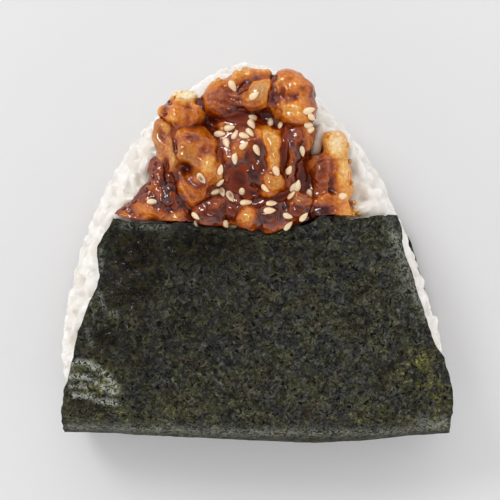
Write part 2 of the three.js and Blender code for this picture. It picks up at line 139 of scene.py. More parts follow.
def points_of(piece):
    flat = np.empty(len(piece.data.vertices) * 3)
    piece.data.vertices.foreach_get("co", flat)
    return to_layout(flat.reshape(-1, 3))


def normals_of(piece):
    flat = np.empty(len(piece.data.vertices) * 3)
    piece.data.vertices.foreach_get("normal", flat)
    return flat.reshape(-1, 3)


def move_points(piece, points):
    piece.data.vertices.foreach_set("co", to_metres(points).ravel())
    piece.data.update()


def set_values(piece, **values):
    for key, numbers in values.items():
        attribute = piece.data.attributes.get(key) or piece.data.attributes.new(key, "FLOAT", "POINT")
        attribute.data.foreach_set("value", np.asarray(numbers, np.float32))


# %% Grids and slabs
def grid_faces(rows, columns, loop=False):
    """Quads between the points of a grid, numbered row by row; a loop's last column joins its first."""
    index = np.arange(rows * columns).reshape(rows, columns)
    if loop:
        index = np.hstack([index, index[:, :1]])
    return np.stack([index[:-1, :-1], index[1:, :-1], index[1:, 1:], index[:-1, 1:]], axis=-1).reshape(-1, 4)


def slab(grid, thickness):
    """The points and faces of a closed slab whose middle surface is a grid of points."""
    rows, columns = grid.shape[:2]
    normal = np.cross(np.gradient(grid, axis=0), np.gradient(grid, axis=1))
    normal /= np.linalg.norm(normal, axis=-1, keepdims=True)
    half = normal * (np.asarray(thickness)[..., None] / 2)
    points = np.concatenate([(grid + half).reshape(-1, 3), (grid - half).reshape(-1, 3)])
    front = grid_faces(rows, columns)
    back = front[:, ::-1] + rows * columns
    index = np.arange(rows * columns).reshape(rows, columns)
    rim = np.concatenate([index[0, :-1], index[:-1, -1], index[-1, :0:-1], index[:0:-1, 0]])
    after = np.roll(rim, -1)
    sides = np.stack([rim, after, after + rows * columns, rim + rows * columns], axis=-1)
    return points, np.concatenate([front, back, sides])


# %% Cast rays
SKY = 0.08  # metres: where the rays start


def tree_of(*pieces):
    """One search tree over several pieces, for casting rays."""
    corners, faces = [], []
    for piece in pieces:
        first = len(corners)
        corners += [vertex.co.copy() for vertex in piece.data.vertices]
        faces += [[first + corner for corner in face.vertices] for face in piece.data.polygons]
    return BVHTree.FromPolygons(corners, faces)


def drop(tree, x, y):
    """The point and normal that a ray from above meets at x, y, in layout millimetres, or None."""
    start = Vector(to_metres([x, y, 0])) + Vector((0, 0, SKY))
    place, normal, _, _ = tree.ray_cast(start, Vector((0, 0, -1)))
    return (to_layout(place), np.array(normal)) if place else None


# %% [markdown]
# ## The form of the pressed rice
# A rice ball is pressed in a mould, so its faces are nearly flat, its sides are full and its corners round.
# A superellipse gives all that from three numbers: how far a point lies from the middle, as a share of the
# outline there, says how much of the half thickness is left. The outline itself is a closed smooth curve
# through a few points, and a shallow pocket on the front holds the topping.

# %% Rice: sizes
HALF_THICKNESS = 16.2
MIDDLE_Z = 17.1
BACK_Z = 1.15
RICE_CENTRE = np.array([0.0, -6.0])
FACE_SQUARENESS = 7
SIDE_ROUNDNESS = 2.6
POCKET = {"middle": np.array([-3.0, 23.0]), "reach": np.array([25.0, 23.0]), "depth": 4.5}
OUTLINE = np.array([
    [-2, 47.6], [12.8, 40.8], [18.8, 34.4], [28.2, 23.2], [40.4, -4], [46.6, -30], [41.5, -43.4],
    [22, -46.2], [-24, -44.7], [-42, -43.2], [-48.6, -30], [-45.4, -4], [-33.8, 23.2], [-17, 41.2],
])


# %% Rice: the outline and the height of the face
def smooth_loop(corners, steps):
    """Points on a centripetal Catmull-Rom curve through a closed loop of corners."""
    curve = []
    for i in range(len(corners)):
        p0, p1, p2, p3 = (corners[(i + k) % len(corners)] for k in (-1, 0, 1, 2))
        knots = np.cumsum([0] + [np.sqrt(np.linalg.norm(b - a)) for a, b in ((p0, p1), (p1, p2), (p2, p3))])
        t0, t1, t2, t3 = knots
        t = np.linspace(t1, t2, steps, endpoint=False)[:, None]
        a1 = (t1 - t) / (t1 - t0) * p0 + (t - t0) / (t1 - t0) * p1
        a2 = (t2 - t) / (t2 - t1) * p1 + (t - t1) / (t2 - t1) * p2
        a3 = (t3 - t) / (t3 - t2) * p2 + (t - t2) / (t3 - t2) * p3
        b1 = (t2 - t) / (t2 - t0) * a1 + (t - t0) / (t2 - t0) * a2
        b2 = (t3 - t) / (t3 - t1) * a2 + (t - t1) / (t3 - t1) * a3
        curve.append((t2 - t) / (t2 - t1) * b1 + (t - t1) / (t2 - t1) * b2)
    return np.concatenate(curve)


outline = smooth_loop(OUTLINE - RICE_CENTRE, 40)
outline_angle = np.arctan2(outline[:, 1], outline[:, 0])
outline_size = np.hypot(outline[:, 0], outline[:, 1])


def outline_radius(angle):
    return np.interp(angle, outline_angle, outline_size, period=2 * math.pi)


def reach_of(x, y):
    """How far out a point lies: 0 in the middle and 1 on the outline."""
    dx, dy = x - RICE_CENTRE[0], y - RICE_CENTRE[1]
    return np.hypot(dx, dy) / outline_radius(np.arctan2(dy, dx))


def fullness(reach):
    return np.maximum(0, 1 - np.minimum(reach, 1) ** FACE_SQUARENESS) ** (1 / SIDE_ROUNDNESS)


def pocket_depth(x, y):
    away = np.hypot(*((np.stack([x, y], -1) - POCKET["middle"]) / POCKET["reach"]).T)
    return POCKET["depth"] * (1 - smoothstep(away, 0.55, 1))


print("rice outline:", len(outline), "points,",
      round(outline_size.min(), 1), "to", round(outline_size.max(), 1), "mm")

# %% [markdown]
# ## The fried pieces
# Each piece of batter is a cluster of swollen lobes. The lobes are ellipsoids, listed once with the solids'
# own numbers, and smaller knobs are set on them where the crust bulges. A voxel remesh fuses a cluster into
# one skin, smoothing fillets the joins, and noise roughens the crust. Sculpting would give the same forms,
# but a list and a rule can be read, changed and run again.

# %% Fried pieces: lobes
# x, y, z of the middle, half sizes along x, y and z, and turn in degrees.
LOBES = {
    "fried_top": [
        (-8.8, 37.2, 33.4, 5.6, 4.9, 6.2, 18), (-1.6, 41.6, 33.4, 6.2, 3, 5.2, 4),
        (0.4, 38.8, 35, 4.8, 4.4, 6.6, 10), (8.4, 39.6, 33.8, 5.8, 5, 6.6, -20),
        (9.2, 34.4, 34.4, 5.4, 4.4, 6.2, 0),
    ],
    "fried_left": [
        (-15.4, 24.6, 34.4, 7, 6.4, 7.4, 0), (-11.8, 20.8, 35.6, 3.9, 5.4, 6.4, 0),
        (-15.4, 15.4, 34, 4.8, 5.2, 6.2, 40), (-22.2, 28.4, 32.6, 3.2, 4.6, 5, 8),
        (-21, 22, 32.6, 3.2, 5.4, 5.2, 12),
    ],
    "fried_right": [
        (18.7, 25.2, 33.4, 2.9, 3.9, 5.2, 0), (20.2, 18, 32.6, 3, 6, 5.2, 0),
        (15.8, 19.2, 33.4, 4.6, 5.4, 5.8, 0), (17.2, 11.2, 33, 5.4, 4.8, 6, 0),
        (21.4, 9.6, 31.4, 3, 3, 4.4, 0),
    ],
    "fried_corner": [
        (-17.4, 34.2, 33.6, 5, 4.6, 6, 0), (-18, 37.4, 32.6, 3.6, 2.4, 4.4, 0),
        (-21.2, 34.8, 32.2, 2.4, 2.4, 4, 0),
    ],
    "fried_lower_left": [
        (-23.4, 12.6, 33.2, 6.2, 5.4, 6, 0), (-23.8, 18.6, 32.4, 2.9, 4.6, 5, 0),
        (-29.2, 9.8, 32, 5.4, 3.8, 4.6, 35), (-19.4, 8.6, 33, 5, 4.2, 5, -10),
    ],
    "fried_centre": [
        (-2.8, 23, 33.2, 8.6, 9, 7, 0), (3, 25, 35.8, 3.2, 6.4, 6.6, 5), (3.4, 17.4, 35.4, 3.6, 4.6, 6, -10),
        (8.4, 24.4, 34.2, 3.4, 8, 6.2, 8), (11.4, 29, 33.6, 2.9, 4.8, 5.6, 0),
        (-4.4, 30.6, 32.6, 7, 3.8, 5.8, 0),
        (9.4, 17.6, 33, 3.8, 4.6, 5.2, 0),
    ],
    "fried_front": [
        (-10.8, 10, 34, 5.4, 4.6, 5.8, 0), (-5.2, 12.6, 33.2, 5.6, 5, 4.8, 0),
        (-2.4, 8.4, 36, 2.8, 3.4, 4.8, 0),
        (3.4, 9.2, 34.6, 5, 4.6, 5.6, 0), (10.2, 11.6, 34.2, 3.9, 4, 5.4, 0),
        (12.4, 7.6, 32.4, 3.6, 3.4, 4.4, 0),
    ],
}

# Smaller lumps of crust: x, y, half width, half height, turn in degrees, and how far each stands proud.
KNOBS = {
    "fried_top": [
        (-10.6, 38.4, 1.2, 1.2, 0, 0.7), (-9.6, 36.4, 1.5, 1.2, 0, 0.6), (-8, 41, 1.8, 1.4, 30, 0.6),
        (-4.4, 43.2, 1.9, 1.2, 10, 0.7), (-0.8, 43.8, 2.6, 1, 0, 0.6), (2.4, 43, 1.6, 1.4, 0, 0.5),
        (-6, 34.6, 2.4, 1.3, -8, 0.6), (-2.4, 35, 2.4, 1.3, 6, 0.5), (6.9, 43.2, 2.4, 1.5, -20, 0.6),
        (8.5, 40.2, 3, 2.3, -30, 0.7), (12.4, 39.6, 1.7, 2.6, -25, 0.6), (5.4, 35.8, 2.2, 1.8, 0, 0.6),
        (8.6, 36, 2.1, 1.8, 0, 0.7), (11.6, 36.6, 1.8, 2.3, 0, 0.6), (6.9, 32.9, 2.5, 1.5, 0, 0.5),
        (11, 32.4, 2, 1.8, 0, 0.6),
    ],
    "fried_corner": [
        (-18.9, 38.4, 1.2, 1.1, 0, 0.8), (-17.1, 38.8, 1.2, 1, 0, 0.9), (-15.6, 38, 1.2, 1.2, 0, 0.8),
        (-19, 34.3, 2.8, 2.5, 0, 0.6), (-15.6, 33.7, 2.4, 2.6, 0, 0.6), (-17, 31.3, 2.5, 1.5, 0, 0.5),
        (-22.4, 34.8, 1.1, 1.1, 0, 0.6), (-21.2, 32.9, 1.4, 1.3, 0, 0.5),
    ],
    "fried_left": [
        (-24, 31, 1.1, 1.9, 10, 0.6), (-24.4, 28, 1.1, 2.2, 5, 0.6), (-23.3, 24.8, 1.1, 2.4, 12, 0.6),
        (-21.2, 30.4, 1.9, 1.3, 0, 0.5), (-15.4, 27.4, 3.8, 2.9, -10, 0.7), (-11.9, 25, 2.1, 2.9, 0, 0.6),
        (-19, 24.4, 1.5, 2.6, 15, 0.5), (-12, 20.6, 2.6, 3.2, 0, 0.7), (-13.6, 17.4, 2.2, 1.9, 30, 0.5),
        (-17.4, 16.2, 1.4, 3, 35, 0.6), (-14, 14.2, 2.8, 1.5, -20, 0.5), (-20.6, 19.6, 1.2, 2.6, 20, 0.6),
    ],
    "fried_lower_left": [
        (-24.3, 20.8, 1.3, 1.9, 0, 0.7), (-24.6, 17.7, 1.5, 1.9, 0, 0.7), (-25.8, 14.7, 1.8, 1.7, 0, 0.6),
        (-28.2, 13, 1.8, 1.2, 30, 0.6), (-30.8, 11, 2, 1.1, 35, 0.6), (-33, 8.9, 1.2, 1.2, 0, 0.5),
        (-26.1, 10.4, 2.5, 1.5, 0, 0.7), (-22.8, 12.8, 1.9, 2.1, 0, 0.7), (-21, 16.2, 1.2, 2.3, -15, 0.5),
        (-20.2, 8.8, 3.2, 1.9, -10, 0.6), (-29.6, 8.4, 1.6, 1.3, 0, 0.5),
    ],
    "fried_centre": [
        (-8.2, 25.5, 1.9, 2.9, 0, 0.5), (-4.9, 22.8, 2.3, 3.1, 0, 0.6), (-9, 28.6, 1.9, 1.5, 0, 0.5),
        (-7.8, 19.6, 1.7, 2.2, 0, 0.4), (1.6, 28.8, 2.1, 1.5, 0, 0.7), (3.7, 26.4, 1.9, 2.2, 0, 0.7),
        (4.3, 22.2, 1.6, 2.7, 0, 0.7), (-1.6, 25.6, 1.7, 2.5, 10, 0.4), (10.4, 28.8, 1.8, 2.9, 0, 0.5),
        (8.7, 24.6, 1.2, 3.3, 5, 0.5), (3.8, 16.8, 2.2, 2.5, 0, 0.7), (1.7, 14.3, 2.2, 1.4, 0, 0.5),
        (6.8, 16.2, 1.6, 2, 0, 0.5), (9.6, 16.4, 1.7, 2, 0, 0.5), (12, 25.2, 1.2, 2.2, 0, 0.5),
    ],
    "fried_front": [
        (-14, 10.4, 2.3, 1.9, 0, 0.6), (-11.2, 12.2, 2.7, 1.8, 0, 0.6), (-10, 8.4, 2.3, 1.6, 0, 0.6),
        (-2.4, 9.6, 1.7, 1.7, 0, 0.6), (-2.2, 6.8, 1.6, 1.7, 0, 0.5), (3.4, 9.2, 3, 2.4, 0, 0.4),
        (8.6, 13, 2.2, 1.7, 0, 0.6), (11.4, 12.4, 1.7, 1.9, 0, 0.6), (9.8, 9.4, 2.2, 1.5, 0, 0.6),
        (-6, 13.6, 2.4, 1.6, 0, 0.4),
    ],
    "fried_right": [
        (17.7, 27, 1.5, 1.7, 0, 0.7), (19.9, 27.4, 1.2, 1.5, 0, 0.7), (18.8, 24.4, 2.1, 1.9, 0, 0.6),
        (21, 21, 1.5, 2.6, 0, 0.6), (20.4, 17, 1.8, 2.2, 0, 0.6), (21.8, 14, 1.3, 1.7, 0, 0.5),
        (14.4, 21.8, 1.7, 2.2, 0, 0.5), (15.4, 18.4, 2.4, 2.1, 0, 0.6), (17.4, 21, 1.4, 1.7, 0, 0.5),
        (14.8, 15.2, 2.4, 1.8, 0, 0.5), (17.4, 12.4, 2.5, 1.9, 0, 0.6), (20.6, 11.4, 2.1, 1.8, 0, 0.6),
        (22.4, 9.4, 1.7, 1.4, 0, 0.5), (16, 9.2, 2.3, 1.5, 0, 0.5),
    ],
}

# Hollows and grooves pressed into the crust: x, y, half width, half height, turn in degrees, depth.
DENTS = [
    (-17.2, 20.7, 1.9, 1.3, -25, 3.2), (-4.2, 18, 2.1, 3, 0, 1.8), (11.2, 21, 1.3, 3.8, 5, 3),
    (-3.4, 40.4, 0.5, 2.6, -40, 0.8),
    (-20, 26.6, 0.6, 4.4, 8, 1.6), (4.6, 39.6, 0.6, 3, 15, 0.6), (-6.4, 8.2, 1.8, 1.6, 0, 1.6),
    (6.6, 20.4, 0.8, 4.2, 5, 1.5),
    (-9.6, 21.6, 0.7, 3.6, 0, 1.2), (6.8, 11.6, 0.8, 2, 20, 1),
]


# Folds in the skin of the meat: points along the line, height (a crease is below 0), half width.
FOLDS = {
    "fried_top": [
        ([(-3.4, 40.5), (-2, 41.9), (-0.4, 42.9), (1.2, 42.9), (3.1, 42.6), (3.9, 43.1)], -1.1, 0.5),
        ([(-5.7, 41.8), (-4.2, 43.2), (-0.1, 43.9), (3.1, 43.8)], 0.5, 0.7),
        ([(3.9, 42.3), (3.6, 39.9), (3.1, 38.1), (2.5, 35.7), (1.2, 34.3)], -1, 0.55),
        ([(5.2, 42), (5, 39.5), (4.6, 37.5), (4, 35.4)], 0.6, 0.7),
        ([(3.5, 43.1), (5.5, 40.7), (6.8, 41.5), (8.4, 42.3)], -0.7, 0.4),
        ([(5.5, 40.7), (6.3, 39.1), (5.7, 37.3), (4.7, 36.2)], -0.6, 0.4),
        ([(11.6, 40.6), (9.7, 38.9), (8.4, 36.7), (6.8, 36.2)], -0.6, 0.45),
        ([(13, 38.4), (11.4, 36.2), (11.8, 34)], -0.4, 0.4),
        ([(-12.1, 37.8), (-11.4, 38.6), (-10.8, 38), (-10.2, 39), (-9.6, 39.1), (-8.6, 40.2)], -0.8, 0.35),
        ([(-14, 38.4), (-12.9, 39.6), (-10.4, 41.3), (-7.9, 42.4)], 0.4, 0.6),
        ([(-11.6, 37), (-9.8, 37.1), (-7.5, 36.2), (-5.4, 35.4)], -0.7, 0.4),
        ([(-8.4, 39), (-6.4, 39.4), (-5.4, 40.6)], -0.5, 0.35),
        ([(-6.6, 37.4), (-4.6, 37.2), (-2.4, 36.2), (0, 36.4)], -0.5, 0.4),
    ],
    "fried_corner": [
        ([(-21.6, 36.6), (-19.6, 36.2), (-17.4, 36.8), (-14.8, 36.2)], -0.6, 0.4),
        ([(-22.2, 34.2), (-20.6, 33), (-19.8, 31.8)], -0.7, 0.4),
        ([(-17.4, 35.6), (-16.6, 33.8), (-17.2, 31.8)], -0.4, 0.4),
    ],
    "fried_left": [
        ([(-23.4, 30.4), (-22.9, 27), (-22.6, 23.6), (-21.8, 21)], -1, 0.5),
        ([(-21, 30.6), (-20.6, 27.6), (-20.9, 24.6), (-20.2, 22)], 0.4, 0.6),
        ([(-19.8, 29.8), (-19.2, 27.6), (-19.6, 25.4), (-19, 23)], -0.6, 0.4),
        ([(-21.6, 28.8), (-20.4, 28.2)], -0.4, 0.3), ([(-21.7, 26.4), (-20.4, 25.8)], -0.4, 0.3),
        ([(-18.4, 26.2), (-16.8, 25.2), (-14.6, 25.6), (-12.4, 24.2)], -0.45, 0.5),
        ([(-17.6, 23.8), (-15.8, 23.2), (-14.4, 21.8), (-14.2, 19.8)], -0.5, 0.5),
        ([(-17.6, 19), (-16, 17), (-14.2, 16.2), (-12.6, 16.6)], -0.6, 0.45),
        ([(-19, 18.6), (-17.2, 15.6), (-15.4, 13.4)], -0.5, 0.4),
    ],
    "fried_lower_left": [
        ([(-25, 18), (-23.6, 16.4), (-22.8, 14.4), (-22.4, 11)], -0.9, 0.5),
        ([(-28, 12.6), (-25.6, 12.6), (-24.2, 10.8)], -0.7, 0.4),
        ([(-31.6, 10.6), (-29.6, 9.4), (-27.4, 9.8)], -0.6, 0.4),
        ([(-22.6, 8.6), (-20.8, 10.8), (-19.6, 12.8)], -0.7, 0.5),
    ],
    "fried_centre": [
        ([(1.1, 30), (1, 27), (1.6, 23.6), (1.4, 20.4)], -0.9, 0.5),
        ([(-6.4, 27), (-6.2, 23.4), (-6.9, 20), (-6.2, 17)], -0.7, 0.5),
        ([(-2.6, 24.4), (-3.2, 22.2), (-2.2, 20.4)], -0.6, 0.5),
        ([(-8.8, 24.6), (-8.4, 22), (-8.9, 19.8)], -0.6, 0.4),
        ([(6.3, 29.6), (6.6, 25.4), (6, 21.8), (6.4, 18)], -0.9, 0.45),
        ([(8.2, 29), (8.6, 26), (9.8, 23.4)], -0.7, 0.4),
        ([(10.9, 29.6), (10.7, 27), (11.6, 24.6)], -0.6, 0.4),
        ([(2.6, 19.6), (4.2, 19), (5.6, 19.4)], -0.6, 0.4), ([(1.6, 16), (3.6, 14.8), (5.6, 15)], -0.5, 0.4),
        ([(8, 17.6), (9.4, 15.4), (11.6, 15.6)], -0.5, 0.4),
    ],
    "fried_front": [
        ([(-13.4, 8.4), (-12, 10.4), (-9.6, 10.2), (-8.2, 12)], -0.6, 0.45),
        ([(0.4, 11.6), (0.2, 9), (1, 6)], -0.7, 0.45), ([(3.8, 12.4), (5.6, 10.6), (5.4, 8)], -0.5, 0.4),
        ([(8, 13.6), (9.6, 11.4), (11.8, 10.8)], -0.6, 0.4),
        ([(-3.6, 10.8), (-2, 10), (-1.4, 8.2)], -0.3, 0.35),
    ],
    "fried_right": [
        ([(16.8, 24), (18.2, 22.8), (20, 23)], -0.7, 0.45),
        ([(17.6, 21.6), (18.1, 18.6), (17.6, 15.8)], -0.8, 0.5),
        ([(13, 18.2), (15, 16.8), (17, 17)], -0.6, 0.4),
        ([(19, 20.6), (20.8, 18.8), (21.8, 16.6)], -0.4, 0.4),
        ([(14.4, 13), (16.2, 10.8), (18.8, 10.6), (21, 12)], -0.6, 0.45),
    ],
}


# %% Fried pieces: the height of a cluster
def in_lobe_axes(points, x, y, half_x, half_y, turn):
    """Points' places in a lobe's own turned axes, in half sizes."""
    angle = math.radians(-turn)
    dx, dy = points[:, 0] - x, points[:, 1] - y
    across = (dx * math.cos(angle) - dy * math.sin(angle)) / half_x
    along = (dx * math.sin(angle) + dy * math.cos(angle)) / half_y
    return across, along


def dab_weight(points, x, y, half_x, half_y, turn=0):
    """1 in the middle of a soft round spot, falling to 0 round it."""
    across, along = in_lobe_axes(points, x, y, half_x, half_y, turn)
    return np.exp(-((across**2 + along**2) ** 1.5))


def lobe_cover(lobe, points):
    """The height of a wide dome that covers a lobe."""
    x, y, z, half_x, half_y, half_z, turn = lobe
    across, along = in_lobe_axes(points, x, y, half_x, half_y, turn)
    return z + half_z * (1 - 0.5 * (across**2 + along**2))


def distance_to(line, x, y):
    """How far points lie from a line of straight stretches."""
    nearest = np.full(len(x), 1e3)
    for (x0, y0), (x1, y1) in zip(line, line[1:]):
        length = (x1 - x0) ** 2 + (y1 - y0) ** 2
        share = np.clip(((x - x0) * (x1 - x0) + (y - y0) * (y1 - y0)) / length, 0, 1)
        nearest = np.minimum(nearest, np.hypot(x - x0 - share * (x1 - x0), y - y0 - share * (y1 - y0)))
    return nearest


FOLD_WIDTH = 1.25


def line_relief(lines, x, y):
    """The height of soft ridges and grooves along lines."""
    total = np.zeros(len(x))
    for line, height, width in lines:
        total += height * np.exp(-((distance_to(line, x, y) / (FOLD_WIDTH * width)) ** 2))
    return total


# %% Fried pieces: fuse the lobes
VOXEL = 0.34
COARSE_VOXEL = 0.6
SMOOTHING = 4
GROOVE_FILL = 1.5  # grooves up to about twice this wide are filled


def ball_points(rings, sides):
    """Points and faces of a unit ball with closed poles."""
    polar = np.linspace(0, math.pi, rings + 1)[1:-1, None]
    around = np.linspace(0, 2 * math.pi, sides, endpoint=False)[None, :]
    body = np.stack(np.broadcast_arrays(
        np.sin(polar) * np.cos(around), np.sin(polar) * np.sin(around), np.cos(polar)), -1)
    points = np.concatenate([[[0, 0, 1.0]], body.reshape(-1, 3), [[0, 0, -1.0]]])
    quads = (grid_faces(rings - 1, sides, loop=True) + 1).tolist()
    last = len(points) - 1
    top = [[0, 1 + i, 1 + (i + 1) % sides] for i in range(sides)]
    bottom = [[last, last - sides + (i + 1) % sides, last - sides + i] for i in range(sides)]
    return points, quads + top + bottom


def spun(points, turn):
    """Points turned about the vertical by an angle in radians."""
    cosine, sine = math.cos(turn), math.sin(turn)
    return points @ np.array([[cosine, -sine, 0], [sine, cosine, 0], [0, 0, 1]]).T


def faces_of_copies(faces, points_each, copies):
    """The faces of several copies of a shape whose points follow each other."""
    return [[corner + i * points_each for corner in face] for i in range(copies) for face in faces]


BALL_POINTS, BALL_FACES = ball_points(16, 24)
LOBE_SQUARENESS = 2.5  # 2 would be an ellipsoid; more has a flatter top and a fuller rim


def lobe_points(lobe):
    x, y, z, half_x, half_y, half_z, turn = lobe
    plan = np.hypot(BALL_POINTS[:, 0], BALL_POINTS[:, 1])
    fuller = (plan**LOBE_SQUARENESS + np.abs(BALL_POINTS[:, 2]) ** LOBE_SQUARENESS) ** (-1 / LOBE_SQUARENESS)
    return spun(BALL_POINTS * fuller[:, None] * [half_x, half_y, half_z], math.radians(turn)) + [x, y, z]


def baked_mesh(piece):
    """A smooth-shaded mesh of a piece with its modifiers in it."""
    graph = bpy.context.evaluated_depsgraph_get()
    shape = piece.evaluated_get(graph)
    mesh = bpy.data.meshes.new_from_object(shape, preserve_all_data_layers=True, depsgraph=graph)
    mesh.polygons.foreach_set("use_smooth", np.ones(len(mesh.polygons), bool))
    return mesh


def plain_mesh(piece):
    """Bakes a piece's modifiers into its mesh, so that none is left."""
    mesh = baked_mesh(piece)
    piece.modifiers.clear()
    piece.data = mesh
    return piece


def remeshed(piece, voxel, smoothing):
    """One even skin round everything in a piece, smoothed a little."""
    remesh = piece.modifiers.new("Fuse", "REMESH")
    remesh.mode = "VOXEL"
    remesh.voxel_size = voxel * MM
    fillet = piece.modifiers.new("Fillet", "SMOOTH")
    fillet.iterations = smoothing
    return plain_mesh(piece)


def fuse(name, lobes):
    """One skin round a cluster of lobes. It is swollen, fused and shrunk back, which fills the grooves."""
    points = np.concatenate([lobe_points(lobe) for lobe in lobes])
    faces = faces_of_copies(BALL_FACES, len(BALL_POINTS), len(lobes))
    piece = remeshed(make_piece(name, points, faces), COARSE_VOXEL, 2)
    move_points(piece, points_of(piece) + GROOVE_FILL * normals_of(piece))
    remeshed(piece, COARSE_VOXEL, 4)
    move_points(piece, points_of(piece) - GROOVE_FILL * normals_of(piece))
    return remeshed(piece, VOXEL, SMOOTHING)


# %% Fried pieces: dents and crags
# How craggy each piece's crust is, in millimetres of relief.
CRAGS = {
    "fried_top": 0.45, "fried_corner": 0.6, "fried_left": 0.4, "fried_lower_left": 0.6,
    "fried_centre": 0.38, "fried_front": 0.45, "fried_right": 0.55,
}
FACE_UP = 0.25  # how far a normal has to point up before a dent reaches its point
SWELLING = 0.95
FOLD_DEPTH = 0.55


def dent_depth(points):
    total = np.zeros(len(points))
    for x, y, half_x, half_y, turn, depth in DENTS:
        across, along = in_lobe_axes(points, x, y, half_x, half_y, turn)
        total += depth * np.exp(-(across**2 + along**2))
    return total


def swell(piece, knobs, folds):
    """Raises each knob as a soft swelling of the skin, and draws the folds."""
    points, normals = points_of(piece), normals_of(piece)
    rise = np.zeros(len(points))
    stray = 0.35 * np.stack([noise(points, 1.6, 16), noise(points, 1.6, 17)])
    folded = FOLD_DEPTH * line_relief(folds, *(points[:, :2].T + stray))
    set_values(piece, folded=folded)
    for x, y, half_x, half_y, turn, proud in knobs:
        across, along = in_lobe_axes(points, x, y, half_x, half_y, turn)
        rise = np.maximum(rise, SWELLING * proud * np.exp(-((across**2 + along**2) ** 1.6)))
    points += normals * ((rise + folded) * smoothstep(normals[:, 2], -FACE_UP, FACE_UP))[:, None]
    points[:, 2] -= dent_depth(points) * smoothstep(normals[:, 2], -FACE_UP, FACE_UP)
    move_points(piece, points)


def roughen(piece, relief):
    points, normals = points_of(piece), normals_of(piece)
    ridges = 1 - 2 * np.abs(noise(points, 3.6, 12))
    wrinkles = 1 - 2 * np.abs(noise(points, 1.9, 15))
    proud = noise(points, 5, 10) * 1.2 + noise(points, 2.6, 11) * 0.9 + ridges * 0.9
    proud += 0.35 * noise(points, 1.5, 13) + 0.25 * wrinkles
    proud -= proud.mean()
    points += normals * (relief * proud)[:, None]
    move_points(piece, points)
    set_values(piece, proud=proud)


fried = {}
for name, lobes in LOBES.items():
    fried[name] = fuse(name.replace("fried", "crust"), lobes)
    swell(fried[name], KNOBS[name], FOLDS[name])
    roughen(fried[name], CRAGS[name])
    print(name, "becomes", fried[name].name, "with", len(fried[name].data.polygons), "faces")

# %% [markdown]
# ## The seaweed sheet
# Roasted seaweed is a felt of short fibres, stiff, thin and a little ragged at its cut edges. The strip runs
# from its front edge down over the front face, round the base and up the back, so a path in the middle plane
# gives its length, and its side edges are listed by height. Off the middle it follows the rice only so far,
# and near the topping it drapes over the pieces: the soft maximum of its own height and the domes above them.

# %% Seaweed: sizes
SHEET_THICKNESS = 0.3
SHEET_RISE = 0.95  # from the rice's smooth form to the middle of the sheet
FRONT_TOP_Y = 9.4
BACK_TOP_Y = 12
DRAPE_GRIP = 1.1
DRAPE_GAP = 0.5
TOP_EDGE = np.array([
    [-34.6, 8.7], [-31.2, 7.7], [-27.6, 7.2], [-24, 7.2], [-19.4, 6.9], [-15.2, 6.7], [-12.2, 5.9],
    [-9.1, 5.9],
    [-4.9, 5.6], [-2.6, 5.1], [-0.8, 4.6], [1.8, 4.1], [4.3, 4.3], [6.4, 5.3], [9, 6], [12.1, 7],
    [14.7, 8.2],
    [17.2, 8.7], [22.9, 8.2], [26, 8.7], [28.6, 9.1], [32.2, 9.4], [34.5, 9.3],
])
# y, x: the side edges on the front, from the base up.
LEFT_EDGE = np.array([
    [-46, -48.5], [-40, -48.4], [-34.8, -47.6], [-28.7, -45.8], [-21.3, -44.7], [-11.5, -41], [-6, -38.6],
    [-2.2, -39.3], [1.5, -39.3], [9.4, -34.6],
])
RIGHT_EDGE = np.array([
    [-46, 48.2], [-40.9, 48.3], [-34.8, 47.9], [-26.2, 46.2], [-21.3, 43], [-16.4, 41.6], [-14, 41.2],
    [-9.1, 39.2],
    [-4.7, 37.9], [0.7, 35.9], [6.9, 35.4], [9.4, 34.6],
])
BACK_LEFT = np.array([[-46, -48.5], [-14, -48], [4, -42.4], [12, -38]])
BACK_RIGHT = np.array([[-46, 48.2], [-14, 45.3], [4, 39.6], [12, 33]])
# x, rise: the fold round the base isn't straight, and stands in this far from its own middle.
BASE_EDGE = np.array([[-48, 1.3], [-27, 1.15], [-6, 0], [14, -0.85], [30, 0], [40, 0.6], [48, 1.05]])
# How far the sheet dips at its sides: up the back, what the front adds at the base, and what it adds on top.
DIP_BACK, DIP_BASE, DIP_TOP = 1.6, 0.6, 4.8
DIP_HEIGHTS = (-36, -4)  # the heights y between the base's dip and the top's
FALL_AT_TURN = 0.2  # the share of the side dip that is left where the sheet turns round the base
LEVEL_FALL = 0.16  # less fall than this is left level
BASE_FADE = (22, 42)  # how far down, as -y, the uneven fold of the base begins and is complete
SAG_FADES_BY = 0.3  # the share of the length by which the sag of the front edge is gone


# %% Seaweed: the path and the surface
def sheet_path(steps=240):
    """Points down the front, round the base and up the back, in the plane x = 0."""
    base = outline_radius(-math.pi / 2)
    turn = np.linspace(0, math.pi / 2, steps)
    start = (RICE_CENTRE[1] - FRONT_TOP_Y) / base
    down = start + (1 - start) * np.sin(turn)
    start = (RICE_CENTRE[1] - BACK_TOP_Y) / base
    up = (start + (1 - start) * np.cos(turn))[1:]
    reach = np.concatenate([down, up])
    side = np.concatenate([np.ones(len(down)), -np.ones(len(up))])
    z = MIDDLE_Z + side * HALF_THICKNESS * fullness(np.abs(reach))
    return np.stack([RICE_CENTRE[1] - reach * base, np.where(side < 0, np.maximum(z, BACK_Z), z)], -1)


PATH = sheet_path()
PATH_STEPS = np.concatenate([[0], np.cumsum(np.linalg.norm(np.diff(PATH, axis=0), axis=1))])
PATH_LENGTH = PATH_STEPS[-1]
PATH_DIRECTIONS = np.gradient(PATH, PATH_STEPS, axis=0)
PATH_DIRECTIONS /= np.linalg.norm(PATH_DIRECTIONS, axis=1, keepdims=True)


def along_path(table, travelled):
    return np.stack([np.interp(travelled, PATH_STEPS, column) for column in table.T], -1)


